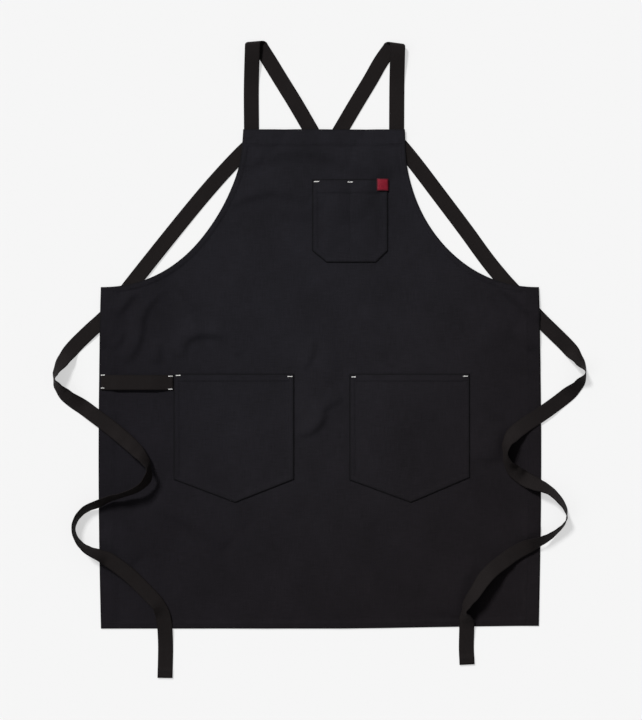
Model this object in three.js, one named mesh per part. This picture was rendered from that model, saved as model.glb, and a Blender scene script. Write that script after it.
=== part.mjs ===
// A cross back apron of black canvas, lying face up on a flat surface with its two long straps spread.
// Millimetres, +Z up and +Y towards the bib. Left and right are as seen from above, facing the apron's front.
import * as THREE from "three";

// Canvas body
const panelWidth = 735.5;
const panelLength = 838;
const sideBow = 4;
const bibWidth = 271.5;
const bibSide = 31;
const bibSideFlare = 1.5;
const bibDrift = 7;
const bibDriftLength = 190;
const hemLift = 4.5;
const armholeDepth = 233.5;
const armholeAcrossPower = 2.2;
const armholeDownPower = 1.62;
const canvasThick = 1.2;
const hemThick = 2.2;
const hemStep = 4;
const sideHem = 23;
const armholeHem = 8;
const bottomHem = 9;
const bibHem = 25;
const foldRise = 2.6;

// Webbing of the straps, the towel loop and the keepers
const webbingWidth = 25.4;
const webbingThick = 1.6;
const shoulderReach = 144;
const shoulderBend = 4.5;
const shoulderTurn = 0.2;
const strapInset = 1.2;
const strapStep = 15;
const keeperLength = 110;
const keeperInset = 1;
const keeperSeam = 5;
const towelLoopInset = 1;
const towelLoopRise = 6.2;
const towelLoopDrop = 2;

// Pockets and tab
const chestPocketWidth = 127;
const chestPocketDepth = 139;
const chestPocketX = 50.5;
const chestPocketDrop = 84;
const hipPocketWidth = 202;
const hipPocketDepth = 217;
const hipPocketX = 147.5;
const hipPocketShift = 3;
const hipPocketDrop = 410;
const pocketFullness = 6.4;
const tabWidth = 20;
const tabHeight = 20.5;
const tabThick = 1;
const tabOverhang = 1.2;

// Fit and mesh
const gap = 0.3;
const cell = 31;
const pocketCell = 25;

// Places worked out from the sizes above
const halfWidth = panelWidth / 2;
const halfBib = bibWidth / 2;
const armholeTop = panelLength - bibSide;
const skirtLength = armholeTop - armholeDepth;
const bibLength = panelLength - skirtLength;
const armholeAcross = halfWidth - halfBib - bibSideFlare;
const layer = webbingThick + gap;
const sewnX = halfBib - webbingWidth / 2 - strapInset;

// Soft folds of the laid canvas: x as a share of the half width, y of the length from the hem,
// turn in degrees from +X, long and wide as shares of the length, high as a share of foldRise.
const foldColumns = ["x", "y", "turn", "long", "wide", "high"];
const clothFolds = [
  [-0.8, 0.62, -38, 0.09, 0.028, 1],
  [-0.72, 0.55, -30, 0.08, 0.026, 0.7],
  [0.82, 0.6, 40, 0.09, 0.028, 0.9],
  [0.02, 0.52, 82, 0.1, 0.024, 0.85],
  [-0.04, 0.43, 96, 0.07, 0.022, 0.7],
  [-0.22, 0.9, -12, 0.07, 0.03, 0.85],
  [0.2, 0.69, 8, 0.09, 0.03, 0.75],
  [-0.1, 0.13, 75, 0.09, 0.03, 0.6],
];

// Strap routes, in legs that end at a fold. A row says what x and y are measured from:
// shoulder: from the strap's sewn line and the bib's top edge, in shares of shoulderReach;
// bib: from the bib's centre line, in half bib widths, and down from its top edge, in bib lengths;
// skirt: from the centre line, in half panel widths, and up from the hem, in skirt lengths.
// lean: degrees that the right-hand edge of the travel is raised.
// over: webbing layers beneath. lift: height held, as a share of the webbing's width.
// on: front where the strap lies over the canvas, back where it lies under it or beside it.
const routeColumns = ["from", "x", "y", "lean", "over", "lift", "on"];

// Sewn at the bib's right corner, ending at the left
const rightStrapLegs = [
  [
    ["shoulder", 0.003, 0.5, 0, 0, 0, "front"],
    ["shoulder", 0.01, 0.969, 0, 0, 0, "front"],
  ],
  [
    ["shoulder", -0.054, 0.975, 0, 0, 0, "front"],
    ["shoulder", -0.179, 0.8, 0, 0, 0, "front"],
    ["shoulder", -0.305, 0.58, 0, 0, 0, "front"],
    ["shoulder", -0.47, 0.306, 0, 0, 0, "back"],
    ["shoulder", -0.635, 0.026, 0, 0, 0, "back"],
    ["bib", -0.258, 0.434, 0, 0, 0, "back"],
  ],
  [
    ["bib", -0.258, 0.434, 0, 0, 0, "back"],
    ["bib", -0.428, 0.273, 0, 1, 0, "back"],
    ["bib", -0.593, 0.141, 0, 0, 0, "back"],
    ["bib", -0.768, 0.031, 0, 0, 0, "back"],
  ],
  [
    ["bib", -0.768, 0.031, 0, 0, 0, "back"],
    ["bib", -0.944, 0.116, 0, 1, 0, "back"],
    ["bib", -1.108, 0.202, 0, 0, 0, "back"],
    ["bib", -1.472, 0.424, 0, 0, 0, "back"],
    ["skirt", -0.858, 1.009, 0, 1, 0, "back"],
    ["skirt", -0.914, 0.962, 0, 1, 0, "back"],
    ["skirt", -0.973, 0.916, 0, 1, 0, "back"],
    ["skirt", -1.051, 0.87, 0, 1, 0, "back"],
    ["skirt", -1.127, 0.822, 0, 0, 0, "front"],
    ["skirt", -1.17, 0.786, -28, 0, 0, "front"],
    ["skirt", -1.202, 0.751, -61, 0, 0, "front"],
    ["skirt", -1.209, 0.731, -79, 0, 0, "front"],
    ["skirt", -1.195, 0.71, -55, 0, 0, "front"],
    ["skirt", -1.153, 0.68, -25, 0, 0, "front"],
    ["skirt", -1.073, 0.645, 0, 0, 0, "front"],
    ["skirt", -0.957, 0.59, 5, 0, 0, "front"],
    ["skirt", -0.895, 0.558, 16, 0, 0.03, "front"],
    ["skirt", -0.84, 0.527, 30, 0, 0.12, "front"],
    ["skirt", -0.796, 0.497, 58, 0, 0.3, "front"],
    ["skirt", -0.776, 0.471, 80, 0, 0.42, "front"],
    ["skirt", -0.782, 0.44, 60, 0, 0.5, "front"],
    ["skirt", -0.821, 0.414, 66, 0, 0.5, "front"],
    ["skirt", -0.9, 0.393, 70, 0, 0.3, "front"],
    ["skirt", -0.955, 0.383, 66, 0, 0.12, "front"],
    ["skirt", -1.009, 0.367, 58, 0, 0.05, "front"],
    ["skirt", -1.059, 0.354, 62, 0, 0, "front"],
    ["skirt", -1.092, 0.337, 70, 0, 0, "front"],
    ["skirt", -1.114, 0.315, 78, 0, 0, "front"],
    ["skirt", -1.121, 0.292, 85, 0, 0, "front"],
    ["skirt", -1.112, 0.27, 84, 0, 0, "front"],
    ["skirt", -1.087, 0.247, 76, 0, 0, "front"],
    ["skirt", -1.053, 0.231, 64, 0, 0, "front"],
    ["skirt", -1.005, 0.218, 50, 0, 0, "front"],
    ["skirt", -0.961, 0.203, 25, 0, 0, "front"],
    ["skirt", -0.87, 0.159, 20, 0, 0, "front"],
    ["skirt", -0.778, 0.101, 25, 0, 0, "front"],
    ["skirt", -0.735, 0.071, 34, 0, 0, "front"],
    ["skirt", -0.712, 0.03, 12, 0, 0, "front"],
    ["skirt", -0.705, -0.035, 0, 0, 0, "front"],
    ["skirt", -0.707, -0.144, 0, 0, 0, "front"],
  ],
];

// Sewn at the bib's left corner, ending at the right
const leftStrapLegs = [
  [
    ["shoulder", -0.002, 0.5, 0, 0, 0, "front"],
    ["shoulder", 0.014, 0.985, 0, 0, 0, "front"],
  ],
  [
    ["shoulder", 0.086, 0.992, 0, 0, 0, "front"],
    ["shoulder", 0.208, 0.8, 0, 0, 0, "front"],
    ["shoulder", 0.339, 0.586, 0, 0, 0, "front"],
    ["shoulder", 0.511, 0.306, 0, 1, 0, "back"],
    ["shoulder", 0.674, 0.026, 0, 1, 0, "back"],
    ["bib", 0.165, 0.283, 0, 1, 0, "back"],
    ["bib", 0.356, 0.434, 0, 0, 0, "back"],
  ],
  [
    ["bib", 0.356, 0.434, 0, 0, 0, "back"],
    ["bib", 0.507, 0.273, 0, 1, 0, "back"],
    ["bib", 0.664, 0.141, 0, 0, 0, "back"],
    ["bib", 0.821, 0.031, 0, 0, 0, "back"],
  ],
  [
    ["bib", 0.821, 0.031, 0, 0, 0, "back"],
    ["bib", 0.971, 0.116, 0, 1, 0, "back"],
    ["bib", 1.117, 0.202, 0, 0, 0, "back"],
    ["bib", 1.469, 0.424, 0, 0, 0, "back"],
    ["skirt", 0.666, 1.166, 0, 0, 0, "back"],
    ["skirt", 0.766, 1.078, 0, 0, 0, "back"],
    ["skirt", 0.841, 1.019, 0, 1, 0, "back"],
    ["skirt", 0.896, 0.981, 0, 1, 0, "back"],
    ["skirt", 0.951, 0.942, 0, 1, 0, "back"],
    ["skirt", 1.01, 0.902, 0, 1, 0, "back"],
    ["skirt", 1.074, 0.862, 0, 1, 0, "back"],
    ["skirt", 1.138, 0.821, 0, 0, 0, "front"],
    ["skirt", 1.18, 0.786, 43, 0, 0, "front"],
    ["skirt", 1.21, 0.751, 82, 0, 0, "front"],
    ["skirt", 1.18, 0.715, 42, 0, 0, "front"],
    ["skirt", 1.121, 0.68, 8, 0, 0, "front"],
    ["skirt", 1.01, 0.628, 5, 0, 0, "front"],
    ["skirt", 0.939, 0.598, 22, 0, 0.05, "front"],
    ["skirt", 0.887, 0.57, 46, 0, 0.08, "front"],
    ["skirt", 0.861, 0.54, 68, 0, 0.06, "front"],
    ["skirt", 0.862, 0.507, 66, 0, 0.05, "front"],
    ["skirt", 0.876, 0.475, 36, 0, 0.02, "front"],
    ["skirt", 0.925, 0.446, 26, 0, 0, "front"],
    ["skirt", 0.97, 0.43, 36, 0, 0.03, "front"],
    ["skirt", 1.01, 0.418, 48, 0, 0.06, "front"],
    ["skirt", 1.05, 0.404, 56, 0, 0, "front"],
    ["skirt", 1.09, 0.379, 62, 0, 0, "front"],
    ["skirt", 1.116, 0.354, 71, 0, 0, "front"],
    ["skirt", 1.124, 0.327, 85, 0, 0, "front"],
    ["skirt", 1.109, 0.306, 74, 0, 0, "front"],
    ["skirt", 1.082, 0.289, 68, 0, 0, "front"],
    ["skirt", 1.046, 0.272, 58, 0, 0, "front"],
    ["skirt", 1.011, 0.261, 50, 0, 0.08, "front"],
    ["skirt", 0.912, 0.231, 30, 0, 0.5, "front"],
    ["skirt", 0.82, 0.194, 15, 0, 0.75, "front"],
    ["skirt", 0.729, 0.153, 22, 0, 0.6, "front"],
    ["skirt", 0.674, 0.106, 50, 0, 0.2, "front"],
    ["skirt", 0.65, 0.072, 80, 0, 0, "front"],
    ["skirt", 0.644, 0.05, 66, 0, 0, "front"],
    ["skirt", 0.655, 0.03, 24, 0, 0, "front"],
    ["skirt", 0.666, 0, 5, 0, 0, "front"],
    ["skirt", 0.669, -0.059, 0, 0, 0, "front"],
    ["skirt", 0.672, -0.105, 0, 0, 0, "front"],
  ],
];

// Lower edges of the patch pockets: across as a share of the half width, down as a share of the depth
const leftPoint = { across: [-1, 0.02, 1], down: [0.82, 1, 0.82] };
const rightPoint = { across: [-1, 0.02, 1], down: [0.825, 1, 0.805] };
const chamferedPocket = { across: [-1, -0.62, 0.68, 1], down: [0.86, 1, 1, 0.86] };

const smooth = (t) => THREE.MathUtils.smoothstep(t, 0, 1);
const rowOf = (columns, values) => Object.fromEntries(columns.map((name, i) => [name, values[i]]));

function between(xs, ys, x) {
  const i = Math.max(1, xs.findIndex((known) => known >= x));
  return THREE.MathUtils.mapLinear(x, xs[i - 1], xs[i], ys[i - 1], ys[i]);
}

// The bib lies a little to the right of the skirt's centre line
function drift(y) {
  return bibDrift * smooth((y - panelLength + bibDriftLength) / bibDriftLength);
}

// The hem's right end lies a little higher than its left
function rightLift(x, y) {
  return hemLift * smooth(x / halfWidth) * (1 - smooth(y / skirtLength));
}

// Triangles of one closed body between an upper and a lower grid of points
function closedSheet(upper, lower) {
  const rows = upper.length;
  const columns = upper[0].length;
  const points = [...upper.flat(), ...lower.flat()];
  const top = (r, c) => r * columns + c;
  const under = (r, c) => rows * columns + top(r, c);
  const index = [];
  const quad = (a, b, c, d) => index.push(a, b, c, a, c, d);
  for (let r = 1; r < rows; r++)
    for (let c = 1; c < columns; c++) {
      quad(top(r - 1, c - 1), top(r - 1, c), top(r, c), top(r, c - 1));
      quad(under(r - 1, c - 1), under(r, c - 1), under(r, c), under(r - 1, c));
    }
  for (let c = 1; c < columns; c++) {
    quad(under(0, c - 1), under(0, c), top(0, c), top(0, c - 1));
    quad(top(rows - 1, c - 1), top(rows - 1, c), under(rows - 1, c), under(rows - 1, c - 1));
  }
  for (let r = 1; r < rows; r++) {
    quad(under(r, 0), under(r - 1, 0), top(r - 1, 0), top(r, 0));
    quad(top(r, columns - 1), top(r - 1, columns - 1), under(r - 1, columns - 1), under(r, columns - 1));
  }
  const geometry = new THREE.BufferGeometry().setFromPoints(points);
  geometry.setIndex(index);
  geometry.computeVertexNormals();
  return geometry;
}

// Route rows as points with the height of the strap's underside over what it lies on
function routePoint(values, side) {
  const row = rowOf(routeColumns, values);
  const bibMiddle = (y) => drift(Math.min(y, panelLength));
  const places = {
    shoulder: () => {
      const y = panelLength + row.y * shoulderReach;
      return [bibDrift + side * sewnX + row.x * shoulderReach, y];
    },
    bib: () => {
      const y = panelLength - row.y * bibLength;
      return [bibMiddle(y) + row.x * halfBib, y];
    },
    skirt: () => [row.x * halfWidth, row.y * skirtLength],
  };
  const [x, y] = places[row.from]();
  return { ...row, at: new THREE.Vector3(x, y, 0), rise: row.over * layer + row.lift * webbingWidth };
}

// Stations along one leg, a smooth curve through its rows
function legStations(rows, side) {
  const curve = new THREE.CatmullRomCurve3(rows.map((row) => row.at), false, "centripetal");
  const steps = Math.max(2, Math.round(curve.getLength() / strapStep));
  const stations = [];
  for (let i = 0; i <= steps; i++) {
    const t = curve.getUtoTmapping(i / steps);
    const place = Math.min(t * (rows.length - 1), rows.length - 1 - 1e-9);
    const row = rows[Math.floor(place)];
    const next = rows[Math.floor(place) + 1];
    const share = smooth(place - Math.floor(place));
    const tangent = curve.getTangent(t);
    stations.push({
      at: curve.getPoint(t),
      right: new THREE.Vector3(tangent.y, -tangent.x, 0).multiplyScalar(side),
      travel: tangent,
      side,
      lean: THREE.MathUtils.lerp(row.lean, next.lean, share),
      rise: THREE.MathUtils.lerp(row.rise, next.rise, share),
      onFront: row.on === "front",
    });
  }
  return stations;
}

// A strap's folds in order: the size of the bend, how far its line turns towards the next leg,
// and whether the next leg lies on top
const strapFolds = [
  { bend: shoulderBend, turn: shoulderTurn, nextOnTop: false },
  { bend: layer / 2, turn: 0.5, nextOnTop: true },
  { bend: layer / 2, turn: 0.5, nextOnTop: true },
];

// At a fold the webbing turns over along a line that lies between both legs' crosswise directions
function foldBetween(before, after, { bend, turn }) {
  const line = before.right.clone().lerp(after.right, turn).normalize();
  const outward = new THREE.Vector3(-line.y, line.x, 0);
  if (outward.dot(before.travel) < 0) outward.negate();
  return [45, 90, 135].map((angle) => {
    const turned = THREE.MathUtils.degToRad(angle);
    const share = (1 - Math.cos(turned)) / 2;
    return {
      ...before,
      at: before.at.clone().lerp(after.at, share).addScaledVector(outward, bend * Math.sin(turned)),
      right: before.right.clone().lerp(after.right, share).normalize(),
      rise: THREE.MathUtils.lerp(before.rise, after.rise, share),
      foldLine: line,
    };
  });
}

// Near a fold the stations' lines turn towards the fold line
function shearTowards(stations, foldStation, line) {
  for (const station of stations) {
    const near = smooth(1 - station.at.distanceTo(foldStation.at) / webbingWidth);
    if (near > 0) station.foldLine = station.right.clone().lerp(line, near).normalize();
  }
}

function strapStations(sewnRows, legs, side) {
  const stations = [];
  let turned = 1;
  legs.forEach((leg, i) => {
    const rows = leg.map((values) => routePoint(values, side));
    if (i === 0) rows.unshift(...sewnRows);
    const entered = strapFolds[i - 1];
    const left = strapFolds[i];
    if (entered?.nextOnTop) rows[0].rise += 2 * entered.bend;
    if (left && !left.nextOnTop) rows[rows.length - 1].rise += 2 * left.bend;
    const made = legStations(rows, turned);
    if (i > 0) {
      const before = stations[stations.length - 1];
      const fold = foldBetween(before, made[0], entered);
      shearTowards(stations, before, fold[0].foldLine);
      shearTowards(made, made[0], fold[0].foldLine);
      stations.push(...fold);
    }
    stations.push(...made);
    turned = -turned;
  });
  return stations;
}

// The webbing's cross-section at each station, lofted into one closed band
function webbingBody(stations, width, thick) {
  const centres = stations.map(
    (s) => new THREE.Vector3(s.at.x, s.at.y, s.under + raised(s, width, thick)),
  );
  const upper = [];
  const lower = [];
  stations.forEach((station, i) => {
    const from = centres[Math.max(0, i - 1)];
    const to = centres[Math.min(centres.length - 1, i + 1)];
    const travel = to.clone().sub(from).normalize();
    const lean = THREE.MathUtils.degToRad(station.lean);
    const flat = station.foldLine ?? station.right;
    const half = width / 2 / Math.max(0.5, flat.dot(station.right));
    const across = flat.clone().multiplyScalar(Math.cos(lean));
    across.z = station.side * Math.sin(lean);
    const normal = across.clone().cross(travel).normalize().multiplyScalar(thick / 2);
    const left = centres[i].clone().addScaledVector(across, -half);
    const right = centres[i].clone().addScaledVector(across, half);
    upper.push([left.clone().add(normal), right.clone().add(normal)]);
    lower.push([left.clone().sub(normal), right.clone().sub(normal)]);
  });
  return closedSheet(upper, lower);
}

function raised(station, width, thick) {
  const lean = THREE.MathUtils.degToRad(station.lean);
  return station.rise + (Math.abs(Math.sin(lean)) * width + Math.cos(lean) * thick) / 2;
}

// Half outline of the canvas with the inward direction at each point, from the hem up to the bib's top
class Armhole extends THREE.Curve {
  getPoint(t, target = new THREE.Vector3()) {
    const angle = ((1 - t) * Math.PI) / 2;
    const across = armholeAcross * Math.cos(angle) ** (2 / armholeAcrossPower);
    const down = armholeDepth * Math.sin(angle) ** (2 / armholeDownPower);
    return target.set(halfWidth - across, armholeTop - down, 0);
  }
}

function outlineRows() {
  const rows = [];
  const add = (x, y, inwardX, inwardY, hem) => rows.push({ x, y, inwardX, inwardY, hem });
  const sideX = (y) => halfWidth + sideBow * Math.sin((Math.PI * y) / skirtLength);
  const sideRow = (y) => add(sideX(y), y, -1, 0, sideHem);
  [0, bottomHem, bottomHem + hemStep].forEach(sideRow);
  const sideSteps = Math.round((skirtLength - bottomHem - hemStep) / cell);
  for (let i = 1; i < sideSteps; i++)
    sideRow(THREE.MathUtils.lerp(bottomHem + hemStep, skirtLength, i / sideSteps));
  rows.push({ x: halfWidth, y: skirtLength, corner: true });
  const armhole = new Armhole();
  const armholeSteps = Math.round(armhole.getLength() / (cell * 1.1));
  for (let i = 1; i <= armholeSteps; i++) {
    const at = armhole.getPointAt(i / armholeSteps);
    const along = armhole.getTangentAt(Math.min(i / armholeSteps, 1 - 1e-3));
    add(at.x, at.y, -along.y, along.x, armholeHem);
  }
  const flare = (y) => halfBib + (bibSideFlare * (panelLength - y)) / bibSide;
  for (const y of [panelLength - bibHem - hemStep, panelLength - bibHem, panelLength])
    if (y > armholeTop) add(flare(y), y, -1, 0, armholeHem);
  return rows;
}

// A point on the inner side of the hem, a mitre at the side corner
function inside(row, extra) {
  if (row.corner) return [row.x - sideHem - extra, row.y - armholeHem - extra];
  const inward = row.hem + extra;
  return [row.x + row.inwardX * inward, row.y + row.inwardY * inward];
}

function panelGrid() {
  const rows = outlineRows();
  const last = rows.length - 1;
  const edgeLength = [0];
  for (let i = 1; i <= last; i++)
    edgeLength.push(edgeLength[i - 1] + Math.hypot(rows[i].x - rows[i - 1].x, rows[i].y - rows[i - 1].y));
  const knownAt = [0, edgeLength[2], edgeLength[last - 2], edgeLength[last]];
  const knownY = [0, rows[2].y, rows[last - 2].y, panelLength];
  const steps = Math.round((halfWidth - sideHem) / cell);
  return rows.map((row, r) => {
    const middleY = r === 1 ? row.y : between(knownAt, knownY, edgeLength[r]);
    const hemRow = r < 2 || r > last - 2;
    const [innerX, innerY] = inside(row, hemStep);
    const half = [];
    for (let k = 0; k <= steps; k++) {
      const share = k / steps;
      half.push({ x: innerX * share, y: middleY + (innerY - middleY) * share ** 2, thick: hemRow });
    }
    const [bandX, bandY] = inside(row, 0);
    half.push({ x: bandX, y: bandY, thick: true });
    half.push({ x: row.x, y: row.y, thick: true });
    const mirrored = half.slice(1).reverse().map((p) => ({ ...p, x: -p.x }));
    return [...mirrored, ...half].map((p) => ({ ...p, x: p.x + drift(p.y), y: p.y + rightLift(p.x, p.y) }));
  });
}

// Height of the canvas over the surface: soft folds, and what lies under it
const folds = clothFolds.map((values) => rowOf(foldColumns, values));

function foldHeight(x, y) {
  let high = 0;
  for (const fold of folds) {
    const turn = THREE.MathUtils.degToRad(fold.turn);
    const dx = x - fold.x * halfWidth;
    const dy = y - fold.y * panelLength;
    const along = (dx * Math.cos(turn) + dy * Math.sin(turn)) / (fold.long * panelLength);
    const aside = (dy * Math.cos(turn) - dx * Math.sin(turn)) / (fold.wide * panelLength);
    high += fold.high * foldRise * Math.exp(-(along ** 2) - aside ** 2);
  }
  return high;
}

function coverHeight(x, y, covered) {
  const flatReach = webbingWidth / 2 + cell * 1.5 + strapStep / 2;
  const slope = 2 * cell;
  let high = 0;
  for (const piece of covered) {
    const away = Math.hypot(x - piece.x, y - piece.y) - flatReach;
    if (away < slope) high = Math.max(high, piece.top * (1 - smooth(away / slope)));
  }
  return high;
}

function panelSurfaces(covered) {
  const grid = panelGrid();
  const lower = [];
  const upper = [];
  for (const row of grid) {
    const under = row.map((p) => {
      const high = Math.max(coverHeight(p.x, p.y, covered), foldHeight(p.x, p.y));
      return new THREE.Vector3(p.x, p.y, high);
    });
    lower.push(under);
    upper.push(under.map((p, c) => {
      const thick = row[c].thick ? hemThick : canvasThick;
      return new THREE.Vector3(p.x, p.y, p.z + thick);
    }));
  }
  return { upper, lower };
}

// The height of a grid of points over x, y, or nothing outside it
function heightOn(grid, x, y) {
  const point = new THREE.Vector3(x, y, 0);
  const weights = new THREE.Vector3();
  const flat = (p) => new THREE.Vector3(p.x, p.y, 0);
  for (let r = 1; r < grid.length; r++) {
    const ys = [...grid[r - 1], ...grid[r]].map((p) => p.y);
    if (y < Math.min(...ys) || y > Math.max(...ys)) continue;
    for (let c = 1; c < grid[0].length; c++) {
      const [a, b, d, e] = [grid[r - 1][c - 1], grid[r - 1][c], grid[r][c], grid[r][c - 1]];
      if (x < Math.min(a.x, e.x) || x > Math.max(b.x, d.x)) continue;
      for (const [p, q, s] of [[a, b, d], [a, d, e]]) {
        const found = THREE.Triangle.getBarycoord(point, flat(p), flat(q), flat(s), weights);
        if (found && weights.x >= 0 && weights.y >= 0 && weights.z >= 0)
          return weights.x * p.z + weights.y * q.z + weights.z * s.z;
      }
    }
  }
  return null;
}

// The highest canvas within reach of a point
function clearOf(grid, x, y, reach) {
  const heights = [];
  for (const dx of [-reach, 0, reach])
    for (const dy of [-reach, 0, reach]) heights.push(heightOn(grid, x + dx, y + dy) ?? 0);
  return Math.max(...heights);
}

function restStations(stations, panelTop) {
  const below = stations.map((station) => {
    if (!station.onFront) return 0;
    const reach = (webbingWidth / 2) * Math.cos(THREE.MathUtils.degToRad(station.lean));
    const found = [-1, -0.5, 0, 0.5, 1].map((share) => {
      const at = station.at.clone().addScaledVector(station.right, share * reach);
      return heightOn(panelTop, at.x, at.y) ?? 0;
    });
    return Math.max(...found);
  });
  stations.forEach((station, i) => {
    const high = Math.max(...below.slice(Math.max(0, i - 1), i + 2));
    station.under = station.onFront && high > 0 ? high + gap : 0;
  });
}

// Keeper strips lie on the surface and rise at both ends to the canvas that they are sewn to
function keeperStations(side) {
  const x = side * (halfWidth - keeperInset - webbingWidth / 2);
  const top = skirtLength - keeperInset;
  const clear = keeperLength - 2 * keeperSeam;
  const steps = Math.round(clear / strapStep);
  const downs = [0, keeperLength];
  for (let i = 0; i <= steps; i++) downs.splice(-1, 0, keeperSeam + (clear * i) / steps);
  return downs.map((down) => ({
    at: new THREE.Vector3(x, top - down, 0),
    right: new THREE.Vector3(-1, 0, 0),
    side: 1,
    lean: 0,
    rise: 0,
    under: 0,
  }));
}

function seatEnds(stations, panelUnder) {
  for (const station of [stations[0], stations[stations.length - 1]]) {
    const canvas = [-1, 0, 1].map((share) => {
      const at = station.at.x + (share * webbingWidth) / 2;
      return heightOn(panelUnder, at, station.at.y) ?? Infinity;
    });
    station.under = Math.max(0, Math.min(...canvas) - layer);
  }
}

// Patch pockets: a grid from the mouth to the lower edge, full in the middle of each compartment
function patchSurfaces({ x, y, width, depth, edge, compartments }, panelTop) {
  const columns = 2 * compartments * Math.max(2, Math.round(width / compartments / pocketCell / 2));
  const rows = Math.round(depth / pocketCell);
  const upper = [];
  const lower = [];
  for (let r = rows; r >= 0; r--) {
    const down = r / rows;
    const under = [];
    for (let c = 0; c <= columns; c++) {
      const across = (2 * c) / columns - 1;
      const compartment = ((c / columns) * compartments) % 1;
      const swell = 4 * compartment * (1 - compartment) * (1 - down ** 2);
      const px = x + (across * width) / 2;
      const py = y - down * depth * between(edge.across, edge.down, across);
      const high = clearOf(panelTop, px, py, pocketCell / 2) + gap + pocketFullness * swell;
      under.push(new THREE.Vector3(px, py, high));
    }
    lower.push(under);
    upper.push(under.map((p) => new THREE.Vector3(p.x, p.y, p.z + canvasThick)));
  }
  return { upper, lower };
}

// Towel loop: a tape from the left side edge to the hip pocket, arched between its sewn ends
function towelLoopStations(panelTop) {
  const from = towelLoopInset - halfWidth;
  const to = hipPocketShift - hipPocketX - hipPocketWidth / 2 - towelLoopInset;
  const y = panelLength - hipPocketDrop - towelLoopDrop - webbingWidth / 2;
  const steps = Math.round((to - from) / strapStep);
  const stations = [];
  for (let i = 0; i <= steps; i++) {
    const share = i / steps;
    stations.push({
      at: new THREE.Vector3(THREE.MathUtils.lerp(from, to, share), y, 0),
      right: new THREE.Vector3(0, -1, 0),
      side: 1,
      lean: 0,
      rise: towelLoopRise * 4 * share * (1 - share),
      onFront: true,
    });
  }
  restStations(stations, panelTop);
  return stations;
}

// Materials
const canvas = new THREE.MeshStandardMaterial({ color: "#201f24", roughness: 0.9, metalness: 0 });
const webbing = new THREE.MeshStandardMaterial({ color: "#1f1c1c", roughness: 0.8, metalness: 0 });
const redTape = new THREE.MeshStandardMaterial({ color: "#c41e42", roughness: 0.75, metalness: 0 });

const apron = new THREE.Group();

function addPiece(name, geometry, material) {
  const mesh = new THREE.Mesh(geometry, material);
  mesh.name = name;
  apron.add(mesh);
}

// Straps, as far as their hidden stretches, which the canvas covers
function sewnRows(side) {
  const x = bibDrift + side * sewnX;
  const flat = { lean: 0, rise: 0, on: "front" };
  return [
    { ...flat, at: new THREE.Vector3(x, panelLength - bibHem, 0) },
    { ...flat, at: new THREE.Vector3(x, panelLength, 0) },
  ];
}

const rightStrap = strapStations(sewnRows(1), rightStrapLegs, 1);
const leftStrap = strapStations(sewnRows(-1), leftStrapLegs, -1);
const keepers = { left: keeperStations(-1), right: keeperStations(1) };

const hidden = [...rightStrap, ...leftStrap].filter((station) => !station.onFront);
const covered = [...hidden, ...keepers.left, ...keepers.right].map((station) => ({
  x: station.at.x,
  y: station.at.y,
  top: station.rise + layer,
}));

// Canvas body, then all that lies on it
const panel = panelSurfaces(covered);
addPiece("apron_panel", closedSheet(panel.upper, panel.lower), canvas);

for (const [name, stations] of [["strap_right", rightStrap], ["strap_left", leftStrap]]) {
  restStations(stations, panel.upper);
  addPiece(name, webbingBody(stations, webbingWidth, webbingThick), webbing);
}

for (const [name, stations] of Object.entries(keepers)) {
  seatEnds(stations, panel.lower);
  addPiece(`strap_keeper_${name}`, webbingBody(stations, webbingWidth, webbingThick), webbing);
}

addPiece("towel_loop", webbingBody(towelLoopStations(panel.upper), webbingWidth, webbingThick), webbing);

const hipPocket = {
  y: panelLength - hipPocketDrop,
  width: hipPocketWidth,
  depth: hipPocketDepth,
  compartments: 1,
};
const chestPocket = {
  x: chestPocketX,
  y: panelLength - chestPocketDrop,
  width: chestPocketWidth,
  depth: chestPocketDepth,
  edge: chamferedPocket,
  compartments: 2,
};
const pockets = {
  hip_pocket_left: { ...hipPocket, x: hipPocketShift - hipPocketX, edge: leftPoint },
  hip_pocket_right: { ...hipPocket, x: hipPocketShift + hipPocketX, edge: rightPoint },
  chest_pocket: chestPocket,
};
const patches = {};
for (const [name, pocket] of Object.entries(pockets)) {
  patches[name] = patchSurfaces(pocket, panel.upper);
  addPiece(name, closedSheet(patches[name].upper, patches[name].lower), canvas);
}

// Red tab over the chest pocket's upper right corner
const tabX = chestPocket.x + chestPocket.width / 2 + tabOverhang - tabWidth / 2;
const tabY = chestPocket.y + tabOverhang - tabHeight / 2;
const tabSeat = clearOf(patches.chest_pocket.upper, tabX, tabY, tabWidth / 2);
const tab = new THREE.BoxGeometry(tabWidth, tabHeight, tabThick);
tab.translate(tabX, tabY, tabSeat + gap + tabThick / 2);
addPiece("pocket_tab", tab, redTape);

// The origin is the middle of the foot of the whole apron
const bounds = new THREE.Box3().setFromObject(apron);
const middle = bounds.getCenter(new THREE.Vector3());
apron.position.set(-middle.x, -middle.y, -bounds.min.z);

export default apron;
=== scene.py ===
# A cross back apron of black canvas, laid face up on a pale floor with its straps spread.
import math

import bmesh
import bpy
import numpy as np
from mathutils import Matrix, Vector, noise
from mathutils.bvhtree import BVHTree


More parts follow.
